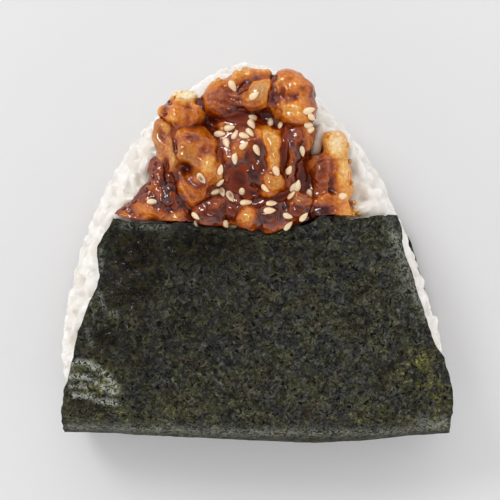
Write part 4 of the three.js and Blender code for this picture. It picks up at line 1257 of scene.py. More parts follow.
# %% Tree 1: spread shapes over a surface
def spread_tree():
    tree, given, output = new_group(
        "Spread over a surface", "GeometryNodeTree",
        [("Geometry", "NodeSocketGeometry"), ("Shapes", "NodeSocketCollection"),
         ("Material", "NodeSocketMaterial"), ("Least distance", "NodeSocketFloat", 0.002),
         ("Most per square metre", "NodeSocketFloat", 1e5),
         ("Tilt", "NodeSocketFloat", 0.3), ("Smallest size", "NodeSocketFloat", 0.9),
         ("Largest size", "NodeSocketFloat", 1.1), ("Seed", "NodeSocketInt", 1)],
        [("Geometry", "NodeSocketGeometry")],
    )
    spread = add_node(tree, "GeometryNodeDistributePointsOnFaces", {
        "Mesh": given["Geometry"], "Distance Min": given["Least distance"],
        "Density Max": given["Most per square metre"], "Density Factor": read_attribute(tree, "bare"),
        "Seed": given["Seed"],
    }, distribute_method="POISSON")
    down = add_node(tree, "ShaderNodeMath", {0: read_attribute(tree, "sink"), 1: -MM}, operation="MULTIPLY")
    along_normal = {0: spread.outputs["Normal"], "Scale": down.outputs[0]}
    shift = add_node(tree, "ShaderNodeVectorMath", along_normal, operation="SCALE")
    moved = {"Geometry": spread.outputs["Points"], "Offset": shift.outputs[0]}
    sunk = add_node(tree, "GeometryNodeSetPosition", moved)
    less = add_node(tree, "ShaderNodeMath", {0: given["Tilt"], 1: -1.0}, operation="MULTIPLY")
    low = add_node(tree, "ShaderNodeCombineXYZ", {"X": less.outputs[0], "Y": less.outputs[0], "Z": -math.pi})
    high = add_node(tree, "ShaderNodeCombineXYZ", {"X": given["Tilt"], "Y": given["Tilt"], "Z": math.pi})
    angles = random_vector(tree, low.outputs[0], high.outputs[0], 3)
    lean = add_node(tree, "FunctionNodeEulerToRotation", {0: angles})
    turned = turned_locally(tree, spread.outputs["Rotation"], lean.outputs[0])
    smallest = add_node(tree, "ShaderNodeCombineXYZ", {axis: given["Smallest size"] for axis in "XYZ"})
    largest = add_node(tree, "ShaderNodeCombineXYZ", {axis: given["Largest size"] for axis in "XYZ"})
    size = random_vector(tree, smallest.outputs[0], largest.outputs[0], 4)
    shapes = pick_shapes(tree, given["Shapes"])
    kind = random_whole(tree, 0, 2, 5)
    finish_tree(tree, output, sunk.outputs["Geometry"], shapes, kind, turned, size, given["Material"])
    return tree


# %% Tree 2: set shapes on chosen points
def chosen_tree():
    tree, given, output = new_group(
        "Set on chosen points", "GeometryNodeTree",
        [("Geometry", "NodeSocketGeometry"), ("Shapes", "NodeSocketCollection"),
         ("Material", "NodeSocketMaterial")],
        [("Geometry", "NodeSocketGeometry")],
    )
    dots = add_node(tree, "GeometryNodeMeshToPoints", {"Mesh": given["Geometry"], "Radius": 0.0005})
    normal = read_attribute(tree, "facing", "FLOAT_VECTOR")
    facing = add_node(tree, "FunctionNodeAlignRotationToVector", {"Vector": normal}, axis="Z")
    angles = add_node(tree, "ShaderNodeCombineXYZ", {"Y": read_attribute(tree, "tilt"), "Z": 0.0})
    spin = add_node(tree, "ShaderNodeCombineXYZ", {"Z": read_attribute(tree, "spin")})
    turn = add_node(tree, "FunctionNodeEulerToRotation", {0: spin.outputs[0]})
    leant = add_node(tree, "FunctionNodeEulerToRotation", {0: angles.outputs[0]})
    turned = turned_locally(tree, facing.outputs[0], turn.outputs[0])
    turned = turned_locally(tree, turned, leant.outputs[0])
    shapes = pick_shapes(tree, given["Shapes"])
    index = add_node(tree, "FunctionNodeFloatToInt", {0: read_attribute(tree, "kind")})
    finish_tree(tree, output, dots.outputs[0], shapes, index.outputs[0], turned,
                read_attribute(tree, "size"), given["Material"])
    return tree


SPREAD = spread_tree()
CHOSEN = chosen_tree()


def grow(name, base, tree, shapes, **inputs):
    """The mesh that a tree makes on a base piece, as a piece of its own."""
    carrier = bpy.data.objects.new(name + "_carrier", base.data)
    bpy.context.scene.collection.objects.link(carrier)
    modifier = carrier.modifiers.new(tree.name, "NODES")
    modifier.node_group = tree
    values = {"Shapes": shapes, **inputs}
    for item in tree.interface.items_tree:
        if item.in_out == "INPUT" and item.name in values:
            modifier[item.identifier] = values[item.name]
    mesh = baked_mesh(carrier)
    bpy.data.objects.remove(carrier)
    mesh.name = name
    piece = bpy.data.objects.new(name, mesh)
    bpy.context.scene.collection.objects.link(piece)
    for shape in list(shapes.objects):
        bpy.data.objects.remove(shape)
    bpy.data.collections.remove(shapes)
    return piece


# %% [markdown]
# ## Finishes
# Colours are written as they look on a screen, from 0 to 255, and turned into linear light here. Noise in the
# materials is measured in millimetres on the object itself, so a finish stays put however it is looked at.

# %% Colour and material helpers
def screen_colour(red, green, blue):
    return (*((value / 255) ** 2.2 for value in (red, green, blue)), 1.0)


def new_material(name):
    material = bpy.data.materials.new(name)
    material.use_nodes = True
    tree = material.node_tree
    tree.nodes.clear()
    surface = tree.nodes.new("ShaderNodeBsdfPrincipled")
    output = tree.nodes.new("ShaderNodeOutputMaterial")
    tree.links.new(surface.outputs[0], output.inputs["Surface"])
    return material, tree, surface


def connect(tree, surface, **inputs):
    """Sets or links the shader's inputs; underscores stand for spaces."""
    for key, value in inputs.items():
        socket = surface.inputs[key.replace("_", " ")]
        if isinstance(value, bpy.types.NodeSocket):
            tree.links.new(value, socket)
        else:
            socket.default_value = value


def maths(tree, operation, *values, clamp=False):
    inputs = dict(enumerate(values))
    return add_node(tree, "ShaderNodeMath", inputs, operation=operation, use_clamp=clamp).outputs[0]


def mixed(tree, share, first, second, blend="MIX"):
    inputs = {0: share, 6: first, 7: second}
    settings = {"data_type": "RGBA", "blend_type": blend, "clamp_factor": True}
    return add_node(tree, "ShaderNodeMix", inputs, **settings).outputs[2]


def ramp(tree, value, *stops):
    """A colour ramp through (place, colour) stops."""
    made = add_node(tree, "ShaderNodeValToRGB", {0: value})
    elements = made.color_ramp.elements
    while len(elements) < len(stops):
        elements.new(0.5)
    for element, (place, colour) in zip(elements, stops):
        element.position = place
        element.color = colour
    return made.outputs[0]


def step(tree, value, low, high):
    """A smooth step from 0 at low to 1 at high."""
    made = add_node(tree, "ShaderNodeMapRange", {0: value, 1: low, 2: high}, interpolation_type="SMOOTHSTEP")
    return made.outputs[0]


def point_value(tree, name):
    return add_node(tree, "ShaderNodeAttribute", attribute_name=name).outputs["Fac"]


# %% Shared effects
def mottle_group():
    """Noise from 0 to 1 on the object, with lumps of a size in millimetres."""
    tree, given, output = new_group(
        "Mottle", "ShaderNodeTree",
        [("Size", "NodeSocketFloat", 1.0), ("Detail", "NodeSocketFloat", 3.0),
         ("Distortion", "NodeSocketFloat", 0.0)],
        [("Value", "NodeSocketFloat")],
    )
    place = add_node(tree, "ShaderNodeTexCoord").outputs["Object"]
    scale = maths(tree, "DIVIDE", 1 / MM, given["Size"])
    made = add_node(tree, "ShaderNodeTexNoise", {
        "Vector": place, "Scale": scale, "Detail": given["Detail"], "Distortion": given["Distortion"]})
    tree.links.new(made.outputs["Fac"], output.inputs["Value"])
    return tree


def relief_group():
    """A fine relief on the surface: a size and a height in millimetres give a normal."""
    tree, given, output = new_group(
        "Fine relief", "ShaderNodeTree",
        [("Size", "NodeSocketFloat", 1.0), ("Height", "NodeSocketFloat", 0.1),
         ("Detail", "NodeSocketFloat", 3.0)],
        [("Normal", "NodeSocketVector")],
    )
    inputs = {"Size": given["Size"], "Detail": given["Detail"]}
    lumps = add_node(tree, "ShaderNodeGroup", inputs, node_tree=MOTTLE)
    height = maths(tree, "MULTIPLY", lumps.outputs[0], given["Height"])
    bump = add_node(tree, "ShaderNodeBump", {"Height": height, "Distance": MM, "Strength": 1.0})
    tree.links.new(bump.outputs[0], output.inputs["Normal"])
    return tree


def film_group():
    """A colour seen through a film of glaze: amber where it is thin, then red brown and nearly black."""
    tree, given, output = new_group(
        "Amber film", "ShaderNodeTree",
        [("Colour", "NodeSocketColor", (1, 1, 1, 1)), ("Thickness", "NodeSocketFloat", 1.0)],
        [("Colour", "NodeSocketColor")],
    )
    film = ramp(tree, maths(tree, "DIVIDE", given["Thickness"], THICKEST_FILM), *FILM_COLOURS)
    seen = mixed(tree, 1.0, given["Colour"], film, "MULTIPLY")
    tree.links.new(seen, output.inputs["Colour"])
    return tree


def flakes_group():
    """Irregular flakes, each with its own value from 0 to 1: cells whose places are smeared by noise."""
    tree, given, output = new_group(
        "Flakes", "ShaderNodeTree", [("Size", "NodeSocketFloat", 1.0), ("Smear", "NodeSocketFloat", 1.0)],
        [("Value", "NodeSocketFloat")],
    )
    place = add_node(tree, "ShaderNodeTexCoord").outputs["Object"]
    scale = maths(tree, "DIVIDE", 1 / MM, given["Size"])
    coarser = maths(tree, "MULTIPLY", scale, 0.625)
    swirl = add_node(tree, "ShaderNodeTexNoise", {"Vector": place, "Scale": coarser, "Detail": 2.0})
    centred = {0: swirl.outputs["Color"], 1: (0.5, 0.5, 0.5)}
    shift = add_node(tree, "ShaderNodeVectorMath", centred, operation="SUBTRACT")
    reach = maths(tree, "MULTIPLY", maths(tree, "MULTIPLY", given["Smear"], given["Size"]), 2 * MM)
    shift = add_node(tree, "ShaderNodeVectorMath", {0: shift.outputs[0], "Scale": reach}, operation="SCALE")
    moved = add_node(tree, "ShaderNodeVectorMath", {0: place, 1: shift.outputs[0]}, operation="ADD")
    cells = add_node(tree, "ShaderNodeTexVoronoi", {"Vector": moved.outputs[0], "Scale": scale})
    parts = add_node(tree, "ShaderNodeSeparateColor", {0: cells.outputs["Color"]})
    tree.links.new(parts.outputs[0], output.inputs["Value"])
    return tree


THICKEST_FILM = 4.0
FILM_COLOURS = (  # the share of the thickest film, and what is left of red, green and blue behind it
    (0.0, (1, 1, 1, 1)), (0.12, (0.93, 0.7, 0.33, 1)), (0.25, (0.83, 0.41, 0.07, 1)),
    (0.5, (0.46, 0.13, 0.015, 1)),
    (0.75, (0.19, 0.036, 0.007, 1)), (1.0, (0.08, 0.018, 0.005, 1)),
)
MOTTLE = mottle_group()
RELIEF = relief_group()
FILM = film_group()
FLAKES = flakes_group()


def mottle(tree, size, detail=3.0, distortion=0.0):
    inputs = {"Size": size, "Detail": detail, "Distortion": distortion}
    return add_node(tree, "ShaderNodeGroup", inputs, node_tree=MOTTLE).outputs[0]


def flake_shades(tree, size, smear):
    return add_node(tree, "ShaderNodeGroup", {"Size": size, "Smear": smear}, node_tree=FLAKES).outputs[0]


def relief(tree, size, height, detail=3.0):
    inputs = {"Size": size, "Height": height, "Detail": detail}
    return add_node(tree, "ShaderNodeGroup", inputs, node_tree=RELIEF).outputs[0]


def through_film(tree, colour, thickness):
    inputs = {"Colour": colour, "Thickness": thickness}
    return add_node(tree, "ShaderNodeGroup", inputs, node_tree=FILM).outputs[0]


# %% [markdown]
# Cooked rice lets light in and scatters it, so it is nearly white and soft, with a wet shine. Near the
# topping a little glaze has soaked in.

# %% Finish: rice
def rice_material():
    material, tree, surface = new_material("cooked rice")
    stain = maths(tree, "MULTIPLY", point_value(tree, "stain"), mottle(tree, 3.0))
    patches = flake_shades(tree, 3.2, 0.5)
    body = mixed(tree, patches, screen_colour(235, 232, 227), screen_colour(217, 210, 200))
    colour = mixed(tree, stain, body, screen_colour(226, 190, 130))
    connect(tree, surface, Base_Color=colour, Roughness=0.36, Normal=relief(tree, 0.9, 0.06),
            Subsurface_Weight=1.0, Subsurface_Radius=(1.0, 0.96, 0.92), Subsurface_Scale=0.003,
            Coat_Weight=0.1, Coat_Roughness=0.2)
    return material


RICE = rice_material()

# %% [markdown]
# The crust is pale where the batter is thick and dry, then golden, tan and brown, and the glaze over it turns
# that amber and, where it is thick, dark red brown. Only the film is glossy.


# %% Finish: fried crust
def crust_material():
    material, tree, surface = new_material("fried crust")
    brown, glaze, skin = (point_value(tree, name) for name in ("brown", "glaze", "skin"))
    grain = mottle(tree, 0.7, 3.0, 0.4)
    browned = maths(tree, "ADD", brown, maths(tree, "MULTIPLY_ADD", grain, 0.5, -0.25), clamp=True)
    crust = ramp(
        tree, browned,
        (0.0, screen_colour(246, 226, 188)), (0.35, screen_colour(230, 184, 108)),
        (0.7, screen_colour(196, 142, 74)),
        (1.0, screen_colour(124, 70, 34)),
    )
    meat = mixed(tree, mottle(tree, 1.6, 2.0, 1.0), screen_colour(214, 184, 158), screen_colour(160, 120, 92))
    crust = mixed(tree, maths(tree, "MULTIPLY", skin, 0.8), crust, meat)
    uneven = maths(tree, "MULTIPLY_ADD", mottle(tree, 2.4, 2.0, 1.0), 0.9, 0.55)
    thickness = maths(tree, "MULTIPLY_ADD", glaze, uneven, maths(tree, "MULTIPLY_ADD", grain, 1.2, -0.55))
    colour = through_film(tree, crust, thickness)
    wet = step(tree, glaze, 0.0, 0.3)
    roughness = maths(tree, "MULTIPLY_ADD", wet, -0.44, 0.55)
    rough = maths(tree, "MULTIPLY", grain, maths(tree, "MULTIPLY_ADD", wet, -0.42, 0.42))
    height = maths(tree, "ADD", mottle(tree, 3.0, 0.0, 0.5), rough)
    bump = add_node(tree, "ShaderNodeBump", {"Height": height, "Distance": 0.9 * MM, "Strength": 1.0})
    connect(tree, surface, Base_Color=colour, Roughness=roughness, Normal=bump.outputs[0],
            Specular_IOR_Level=0.48,
            Subsurface_Weight=0.25, Subsurface_Radius=(1.0, 0.4, 0.15), Subsurface_Scale=0.0015)
    return material


CRUST = crust_material()


# %% Finish: sauce
def sauce_material():
    material, tree, surface = new_material("glaze")
    depth = point_value(tree, "depth")
    thickness = maths(tree, "MINIMUM", maths(tree, "MULTIPLY_ADD", depth, 1.1, 1.8), 3.1)
    colour = through_film(tree, screen_colour(186, 126, 82), thickness)
    connect(tree, surface, Base_Color=colour, Roughness=0.06, IOR=1.48, Specular_IOR_Level=0.34,
            Normal=relief(tree, 1.8, 0.26, 1.0))
    return material


SAUCE = sauce_material()


# %% Finish: sesame
def sesame_material():
    material, tree, surface = new_material("sesame")
    heart = point_value(tree, "heart")
    shell = mixed(tree, mottle(tree, 1.4), screen_colour(250, 234, 206), screen_colour(236, 206, 164))
    shell = through_film(tree, shell, maths(tree, "MULTIPLY", mottle(tree, 3.4), 0.25))
    colour = mixed(tree, heart, shell, screen_colour(112, 56, 24))
    connect(tree, surface, Base_Color=colour, Roughness=0.4, Normal=relief(tree, 0.4, 0.04),
            Subsurface_Weight=0.2, Subsurface_Radius=(1.0, 0.7, 0.4), Subsurface_Scale=0.0006)
    return material


SESAME = sesame_material()


# %% Finish: seaweed
def hair_lines(tree, size, width, distortion, broken):
    """Short curly lines, 1 on them: where a distorted noise crosses its middle, broken up by another."""
    away = maths(tree, "ABSOLUTE", maths(tree, "SUBTRACT", mottle(tree, size, 1.0, distortion), 0.5))
    on_line = step(tree, away, width, width / 3)
    return maths(tree, "MULTIPLY", on_line, step(tree, mottle(tree, 1.3 * size), broken, broken + 0.1))


def seaweed_material():
    material, tree, surface = new_material("roasted seaweed")
    damp, frost, olive = (point_value(tree, name) for name in ("damp", "frost", "olive"))
    # Broad patches of slate, warm grey and olive.
    broad = mottle(tree, 5.0, 3.0, 1.0)
    fine = maths(tree, "MULTIPLY", flake_shades(tree, 2.6, 1.4), 0.3)
    patch = maths(tree, "MULTIPLY_ADD", broad, 0.7, fine)
    ground = ramp(
        tree, patch,
        (0.36, screen_colour(45, 45, 44)), (0.46, screen_colour(51, 51, 48)),
        (0.52, screen_colour(53, 53, 44)),
        (0.6, screen_colour(52, 53, 40)), (0.68, screen_colour(52, 48, 40)),
    )
    gold = maths(tree, "MULTIPLY", olive, step(tree, mottle(tree, 2.4, 3.0, 1.4), 0.44, 0.62))
    ground = mixed(tree, maths(tree, "MULTIPLY", gold, 0.7), ground, screen_colour(92, 90, 46))
    # Smeared flakes of their own shades lie over each other; between them it is darker.
    smeared = mottle(tree, 1.6, 4.0, 1.8)
    flakes = maths(tree, "ADD", smeared, maths(tree, "MULTIPLY", flake_shades(tree, 1.5, 1.8), 0.2))
    shade = maths(tree, "EXPONENT", maths(tree, "MULTIPLY_ADD", flakes, 5.7, -3.42))
    grey = add_node(tree, "ShaderNodeCombineColor", {0: shade, 1: shade, 2: shade}).outputs[0]
    ground = mixed(tree, 1.0, ground, grey, "MULTIPLY")
    long_fibres = hair_lines(tree, 1.9, 0.025, 1.6, 0.5)
    fibres = maths(tree, "MAXIMUM", long_fibres, hair_lines(tree, 1.1, 0.03, 1.4, 0.52))
    ground = mixed(tree, maths(tree, "MULTIPLY", fibres, 0.65), ground, screen_colour(104, 104, 78))
    cracks = hair_lines(tree, 2.4, 0.05, 1.0, 0.6)
    slots = maths(tree, "MAXIMUM", cracks, step(tree, mottle(tree, 1.0, 1.0, 0.6), 0.36, 0.31))
    ground = mixed(tree, maths(tree, "MULTIPLY", slots, 0.95), ground, screen_colour(4, 4, 3))
    # Damp places turn dark; the same dark colour is painted shade just below the crinkled patch.
    soaked = step(tree, mottle(tree, 2.2, 3.0, 1.0), 0.46, 0.62)
    wet = mixed(tree, soaked, screen_colour(8, 8, 7), screen_colour(42, 35, 18))
    wet = mixed(tree, maths(tree, "MULTIPLY", fibres, 0.5), wet, screen_colour(62, 60, 42))
    ground = mixed(tree, maths(tree, "MULTIPLY", damp, 0.97), ground, wet)
    # Painted sheen: pale grey where edges, folds and crinkled ridges would catch the light.
    sheen_spots = maths(tree, "MULTIPLY", frost, step(tree, mottle(tree, 0.9, 3.0, 1.2), 0.44, 0.56))
    ground = mixed(tree, maths(tree, "MULTIPLY", sheen_spots, 0.85), ground, screen_colour(176, 180, 166))
    glint = maths(tree, "MULTIPLY", step(tree, damp, 0.3, 0.7), hair_lines(tree, 1.4, 0.035, 1.2, 0.55))
    height = maths(tree, "MULTIPLY_ADD", slots, -0.5, flakes)
    bump = add_node(tree, "ShaderNodeBump", {"Height": height, "Distance": 0.25 * MM, "Strength": 1.0})
    roughness = maths(tree, "MULTIPLY_ADD", maths(tree, "MAXIMUM", damp, frost), -0.35, 0.68, clamp=True)
    # The glints are wet threads: a clear coat on them shines where the light catches it.
    connect(tree, surface, Base_Color=ground, Roughness=roughness, Normal=bump.outputs[0],
            Specular_IOR_Level=0.06,
            Coat_Weight=glint, Coat_Roughness=0.22, Coat_Normal=bump.outputs[0])
    return material


SEAWEED = seaweed_material()

# %% [markdown]
# ## Grow the grains and strew the seeds
# The first tree spreads most of the grains. A few plump ones beside the topping are set one by one, because
# there the eye picks out single grains, and a rule would not put them where they stand. The seeds are listed
# too: each with its turn, and whether its hull is open and shows a dark heart. A ray from above finds
# the height of the topping there, and rays round it give the slope.

# %% Big grains, one by one
# Plump grains that stand out beside the topping: x, y, how far the middle lies above the core, turn and tilt
# in degrees.
BIG_GRAINS = [
    (13.9, 25.6, 1.6, 40, 0), (13.9, 25.6, 3.6, 85, 0), (14.2, 26, 5.5, 85, 0), (15.8, 29.4, 1.6, 20, 0),
    (15.8, 29.4, 3.5, 115, 0), (15.2, 29, 5.2, 70, 0), (-27.6, 21.4, 1, 62, 0), (-25.6, 26.2, 0.9, 40, 6),
    (-30, 17.6, 0.9, 100, 4), (22.2, 24.2, 1.2, 60, 8), (24.4, 22.4, 1, 128, -6), (25.2, 19.2, 1, 84, 8),
    (26.4, 15.4, 1.1, 150, -4), (28.4, 14, 1, 35, 6), (28.6, 10.8, 1.1, 100, 0), (25.6, 11, 1.1, 18, 5),
    (30.4, 10.6, 0.9, 62, -8), (19.4, 28.4, 1, 125, 6),
]


def placed_grains(places, ground):
    """Points and faces of single grains over the ground, each turned about the vertical and tilted."""
    shape, faces = grain_shape(0.35, 0.1, 0.02)
    points = []
    for x, y, above, turn, tilt in places:
        z = drop(ground, x, y)[0][2] + above
        cosine, sine = math.cos(math.radians(tilt)), math.sin(math.radians(tilt))
        tilted = shape @ np.array([[cosine, 0, sine], [0, 1, 0], [-sine, 0, cosine]])
        points.append(spun(tilted, math.radians(turn)) + [x, y, z])
    return np.concatenate(points), faces_of_copies(faces, len(shape), len(places))


# %% Grains
rice = grow("rice_grains", core, SPREAD, grain_shapes, **{
    "Material": RICE, "Least distance": 0.0024, "Most per square metre": 3e5, "Tilt": 0.42,
    "Smallest size": 0.88, "Largest size": 1.12, "Seed": 4,
})
print("rice grains:", len(rice.data.polygons), "faces")

# %% [markdown]
# Cooked grains stick together, and light passes from one to the next. Fused with the core into one skin they
# keep their forms, but no hidden faces are left inside to stop the light.

# %% Stick the grains together
RICE_VOXEL = 0.56


def stuck_together(core, grains):
    meshes = [core.data, grains.data]
    points, faces = placed_grains(BIG_GRAINS, tree_of(core))
    faces = [list(face) for face in faces]
    for piece in (core, grains):
        faces += [[corner + len(points) for corner in face.vertices] for face in piece.data.polygons]
        points = np.concatenate([points, points_of(piece)])
    piece = remeshed(make_piece("rice_ball", points, faces), RICE_VOXEL, 1)
    for old in (core, grains):
        bpy.data.objects.remove(old)
    for mesh in meshes:
        bpy.data.meshes.remove(mesh)
    return piece


def keep_below_sheet(piece):
    """Presses the rice down where it would show through the seaweed's front, and flat where it lies."""
    points = points_of(piece)
    near = (points[:, 2] > MIDDLE_Z) & (points[:, 1] < FRONT_TOP_Y + 1)
    for i in np.flatnonzero(near):
        hit = drop(nori_tree, *points[i, :2])
        if hit and hit[0][2] > MIDDLE_Z:
            points[i, 2] = min(points[i, 2], hit[0][2] - TUCK)
    points[:, 2] = np.maximum(points[:, 2], 0.0)
    move_points(piece, points)


rice = stuck_together(core, rice)
keep_below_sheet(rice)
print("rice:", len(rice.data.polygons), "faces")


# %% Seed shapes
def seed_shape(is_open):
    """A flat teardrop; an open one has a dark hollow along its middle."""
    points, faces = ball_points(8, 10)
    points = points[:, [2, 0, 1]]
    along, across, up = points.T
    width = 1 - 0.3 * along - 0.1 * along**2
    shaped = np.stack([along * 1.42, across * width * 0.78, up * width * 0.52], -1)
    heart = np.exp(-((along + 0.05) / 0.5) ** 2 - (across / 0.42) ** 2) * (up > 0) * is_open
    shaped[:, 2] -= 0.22 * heart
    return shaped, faces, {"heart": np.clip(heart * 1.6, 0, 1)}


# %% Seeds
# x, y, turn in degrees, 1 for an open hull.
SEEDS = [
    (-6.8, 30.4, 10, 0), (-9.1, 28.9, 0, 0), (-5.4, 28.6, 60, 0), (-7.5, 26.6, -70, 0), (-3.2, 28.3, -20, 0),
    (-1.8, 29.1, -50, 0), (-1.5, 31.3, -60, 0), (-3.3, 26.0, 40, 0), (-1.0, 33.0, 30, 0),
    (-0.1, 24.9, -65, 0),
    (-5.5, 22.7, -85, 0), (3.2, 32.1, -5, 0), (5.6, 31.4, 5, 0), (-0.8, 38.0, 35, 0), (12.4, 34.4, 20, 0),
    (13.0, 32.9, -40, 0), (12.3, 31.0, 0, 0), (12.8, 29.9, 20, 0), (10.8, 24.7, -80, 0),
    (-13.5, 18.1, -60, 1),
    (-9.0, 20.1, 75, 0), (-9.1, 17.2, 80, 0), (-10.2, 14.6, -80, 0), (-8.5, 14.7, -70, 1),
    (-6.6, 13.7, -65, 1),
    (-3.8, 14.6, 85, 0), (-25.5, 12.4, 0, 0), (-6.0, 40.5, -60, 0), (-14.9, 9.0, -30, 0),
    (-15.0, 7.4, -20, 0),
    (-7.8, 7.1, -60, 0), (-6.0, 6.6, 0, 0), (-2.8, 12.1, 0, 0), (2.0, 15.7, -30, 0), (3.4, 11.9, 10, 0),
    (2.9, 10.2, 5, 0), (7.3, 9.0, -15, 0), (7.4, 6.7, 50, 0), (11.2, 8.8, 50, 0), (8.8, 16.0, 60, 0),
    (9.7, 16.3, 80, 0), (8.4, 13.9, 40, 0), (12.5, 14.1, -50, 0), (4.5, 19.7, -70, 0), (7.7, 20.1, 60, 0),
    (20.7, 13.8, 15, 0),
]
SEED_LIFT = 0.2


def lie_on(tree, x, y, lift):
    """A point lifted from the surface under x, y, and the mean normal round it."""
    hits = [drop(tree, x + dx, y + dy) for dx, dy in ((0, 0), (0.8, 0), (-0.8, 0), (0, 0.8), (0, -0.8))]
    middle = hits[0] or (np.array([x, y, 34.0]), np.array([0, 0, 1.0]))
    facing = np.sum([hit[1] for hit in hits if hit] + [np.array([0, 0, 0.6])], axis=0)
    facing /= np.linalg.norm(facing)
    return middle[0] + facing * lift, facing


def strew(name, shapes, material, tree, places, lift):
    """Shapes on chosen places: x, y, turn in degrees, kind."""
    found = [lie_on(tree, x, y, lift) for x, y, _, _ in places]
    base = make_piece(name + "_places", np.array([point for point, _ in found]), [], {
        "spin": [math.radians(turn) for _, _, turn, _ in places],
        "kind": [kind for *_, kind in places],
        "size": 1 + 0.08 * np.sin(np.arange(len(places)) * 2.4),
        "tilt": 0.12 * np.sin(np.arange(len(places)) * 1.7),
    })
    facing = base.data.attributes.new("facing", "FLOAT_VECTOR", "POINT")
    facing.data.foreach_set("vector", np.array([normal for _, normal in found], np.float32).ravel())
    piece = grow(name, base, CHOSEN, shapes, Material=material)
    bpy.data.objects.remove(base)
    return piece


seed_shapes = hidden_collection("seed shape", [seed_shape(False), seed_shape(True)])
topping_tree = tree_of(*fried.values(), sauce)
seeds = strew("sesame_seeds", seed_shapes, SESAME, topping_tree, SEEDS, SEED_LIFT)
print("sesame seeds:", len(SEEDS), "with", len(seeds.data.polygons), "faces")

# %% [markdown]
# Bits of batter broke off and stick to the edges: pale dry flakes, golden crumbs and dark soaked ones. They
# wear the crust's own finish, so each shape carries its browning and its glaze.

# %% Crumb shapes
def crumb_shape(seed, brown, glaze, size):
    points, faces = ball_points(6, 8)
    lumpy = 1 + 0.5 * noise(points * 2.3 + 5, 1.2, seed) + 0.25 * noise(points * 4, 1.1, seed + 1)
    shaped = points * lumpy[:, None] * [size, 0.75 * size, 0.6 * size]
    count = len(points)
    values = {"brown": np.full(count, brown), "glaze": np.full(count, glaze), "skin": np.zeros(count)}
    return shaped, faces, values


# %% Crumbs
# x, y, turn in degrees, 0 pale flake, 1 golden crumb, 2 dark crumb.
CRUMBS = [
    (-19.9, 38.7, 20, 0), (-18.9, 39.5, 80, 0), (-17.6, 39.3, 10, 0), (-16.3, 39.7, 50, 0),
    (-15.2, 39, 110, 0),
    (-14.6, 38.1, 30, 0), (-20.6, 37.6, 60, 1), (-21.5, 36.9, 90, 2), (-22.6, 33.8, 0, 2),
    (-24.9, 21.6, 60, 2),
    (-25.3, 20.3, 20, 2), (-25.4, 18.6, 100, 2), (-26.3, 16.9, 40, 2), (-27.2, 15.2, 80, 2),
    (-30.2, 12.4, 10, 2),
    (-32.8, 10.8, 50, 2), (21.9, 26.2, 40, 1), (17, 28.6, 10, 1), (19.6, 28.9, 80, 0), (22.6, 22.6, 20, 1),
    (23, 17, 70, 1), (23.6, 12.4, 0, 1), (24.2, 10.6, 40, 0), (23.4, 9.4, 90, 1), (25, 9.6, 10, 1),
    (22.2, 8.9, 60, 0),
    (19.4, 9, 30, 1), (-9.4, 42, 30, 1), (-4.2, 44.5, 70, 0),
]
crumb_shapes = hidden_collection("crumb shape", [
    crumb_shape(81, 0.05, 0.05, 0.75), crumb_shape(84, 0.4, 0.5, 0.7), crumb_shape(87, 0.8, 2.4, 0.65),
])
crumbs = strew("crumbs", crumb_shapes, CRUST, tree_of(*fried.values(), rice), CRUMBS, 0.1)
print("crumbs:", len(CRUMBS), "with", len(crumbs.data.polygons), "faces")

# %% [markdown]
# ## Put the finishes on and tie the pieces to the solids
# Every mesh takes the place of the solid it dresses. Rice near the topping gets its stain here, by how close
# it lies to the heap.

# %% Stain
stain_field = blurred(is_topping, 2.4 / CELL)
points = points_of(rice)
near = field_at(stain_field, points[:, 0], points[:, 1]) * (points[:, 1] > FIELD_Y[0])
inside = (points[:, 0] > FIELD_X[0]) & (points[:, 0] < FIELD_X[-1])
set_values(rice, stain=np.where(inside, 0.7 * near * smoothstep(points[:, 2], 20, 31), 0))

# %% Finishes and bodies
finishes = [(rice, RICE), (nori, SEAWEED), (sauce, SAUCE), (seeds, SESAME)]
finishes += [(piece, CRUST) for piece in [*fried.values(), crumbs]]
for piece, material in finishes:
    piece.data.materials.clear()
    piece.data.materials.append(material)
    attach(piece, "root")
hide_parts("rice")
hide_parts("nori")
for name, piece in fried.items():
    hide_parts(name)

# %% [markdown]
# ## The studio
# A pale floor under a bright sky, which gives most of the light, and one soft lamp from above left, which
# gives the shadows their side. A glossy glaze also needs something small and bright to mirror. Two more lamps
# do only that: they are left out of the diffuse light, so they make glints and brighten nothing else. No real
# lamp can be switched off for matt surfaces, so this is a studio trick. The camera looks straight down from
# half a metre, with a long lens.

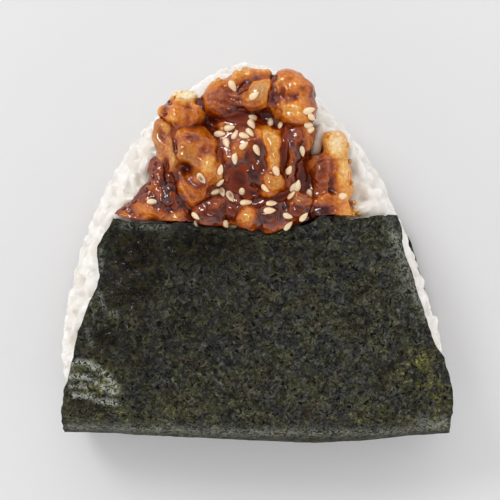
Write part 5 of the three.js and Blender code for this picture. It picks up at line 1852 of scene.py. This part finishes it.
# %% Floor
bpy.ops.mesh.primitive_plane_add(size=6, location=(0, 0, -0.0002))
floor = bpy.context.object
floor.name = "floor"
floor_material, floor_tree, floor_surface = new_material("pale floor")
connect(floor_tree, floor_surface, Base_Color=(0.80, 0.797, 0.797, 1.0), Roughness=0.7)
floor.data.materials.append(floor_material)


# %% Lights
def soft_light(name, place, size, power):
    light = bpy.data.lights.new(name, "AREA")
    light.shape = "DISK"
    light.size = size
    light.energy = power
    lamp = bpy.data.objects.new(name, light)
    lamp.location = place
    lamp.rotation_euler = Vector(place).to_track_quat("Z", "Y").to_euler()
    bpy.context.scene.collection.objects.link(lamp)
    return lamp


ZENITH, HORIZON = 0.37, 1.87  # the sky's strength overhead and at the horizon
SPARK_SIZE = 0.34
soft_light("key light", (-0.9, 0.93, 1.45), 0.6, 7.8)
for name, place, power in [("spark light", (-0.7, 0.95, 1.5), 14), ("high spark light", (-0.3, 0.5, 1.7), 7)]:
    spark = soft_light(name, place, SPARK_SIZE, power)
    spark.visible_diffuse = False  # seen only as glints on what is wet
world = bpy.data.worlds.new("sky")
world.use_nodes = True
sky = world.node_tree
direction = add_node(sky, "ShaderNodeTexCoord").outputs["Generated"]
height = add_node(sky, "ShaderNodeSeparateXYZ", {0: direction}).outputs["Z"]
dimming = maths(sky, "SUBTRACT", 1.0, maths(sky, "ABSOLUTE", height))
strength = maths(sky, "MULTIPLY_ADD", dimming, HORIZON - ZENITH, ZENITH)
sky.links.new(strength, sky.nodes["Background"].inputs["Strength"])
sky.nodes["Background"].inputs["Color"].default_value = (1.0, 1.0, 1.015, 1.0)
bpy.context.scene.world = world

# %% Camera
CAMERA_HEIGHT = 0.534
camera = bpy.data.objects.new("camera", bpy.data.cameras.new("camera"))
camera.data.lens = 146.9
camera.data.sensor_width = 36
camera.location = (-0.0013, 0.0010, CAMERA_HEIGHT)
bpy.context.scene.collection.objects.link(camera)
bpy.context.scene.camera = camera
bpy.context.scene.view_settings.view_transform = "Standard"
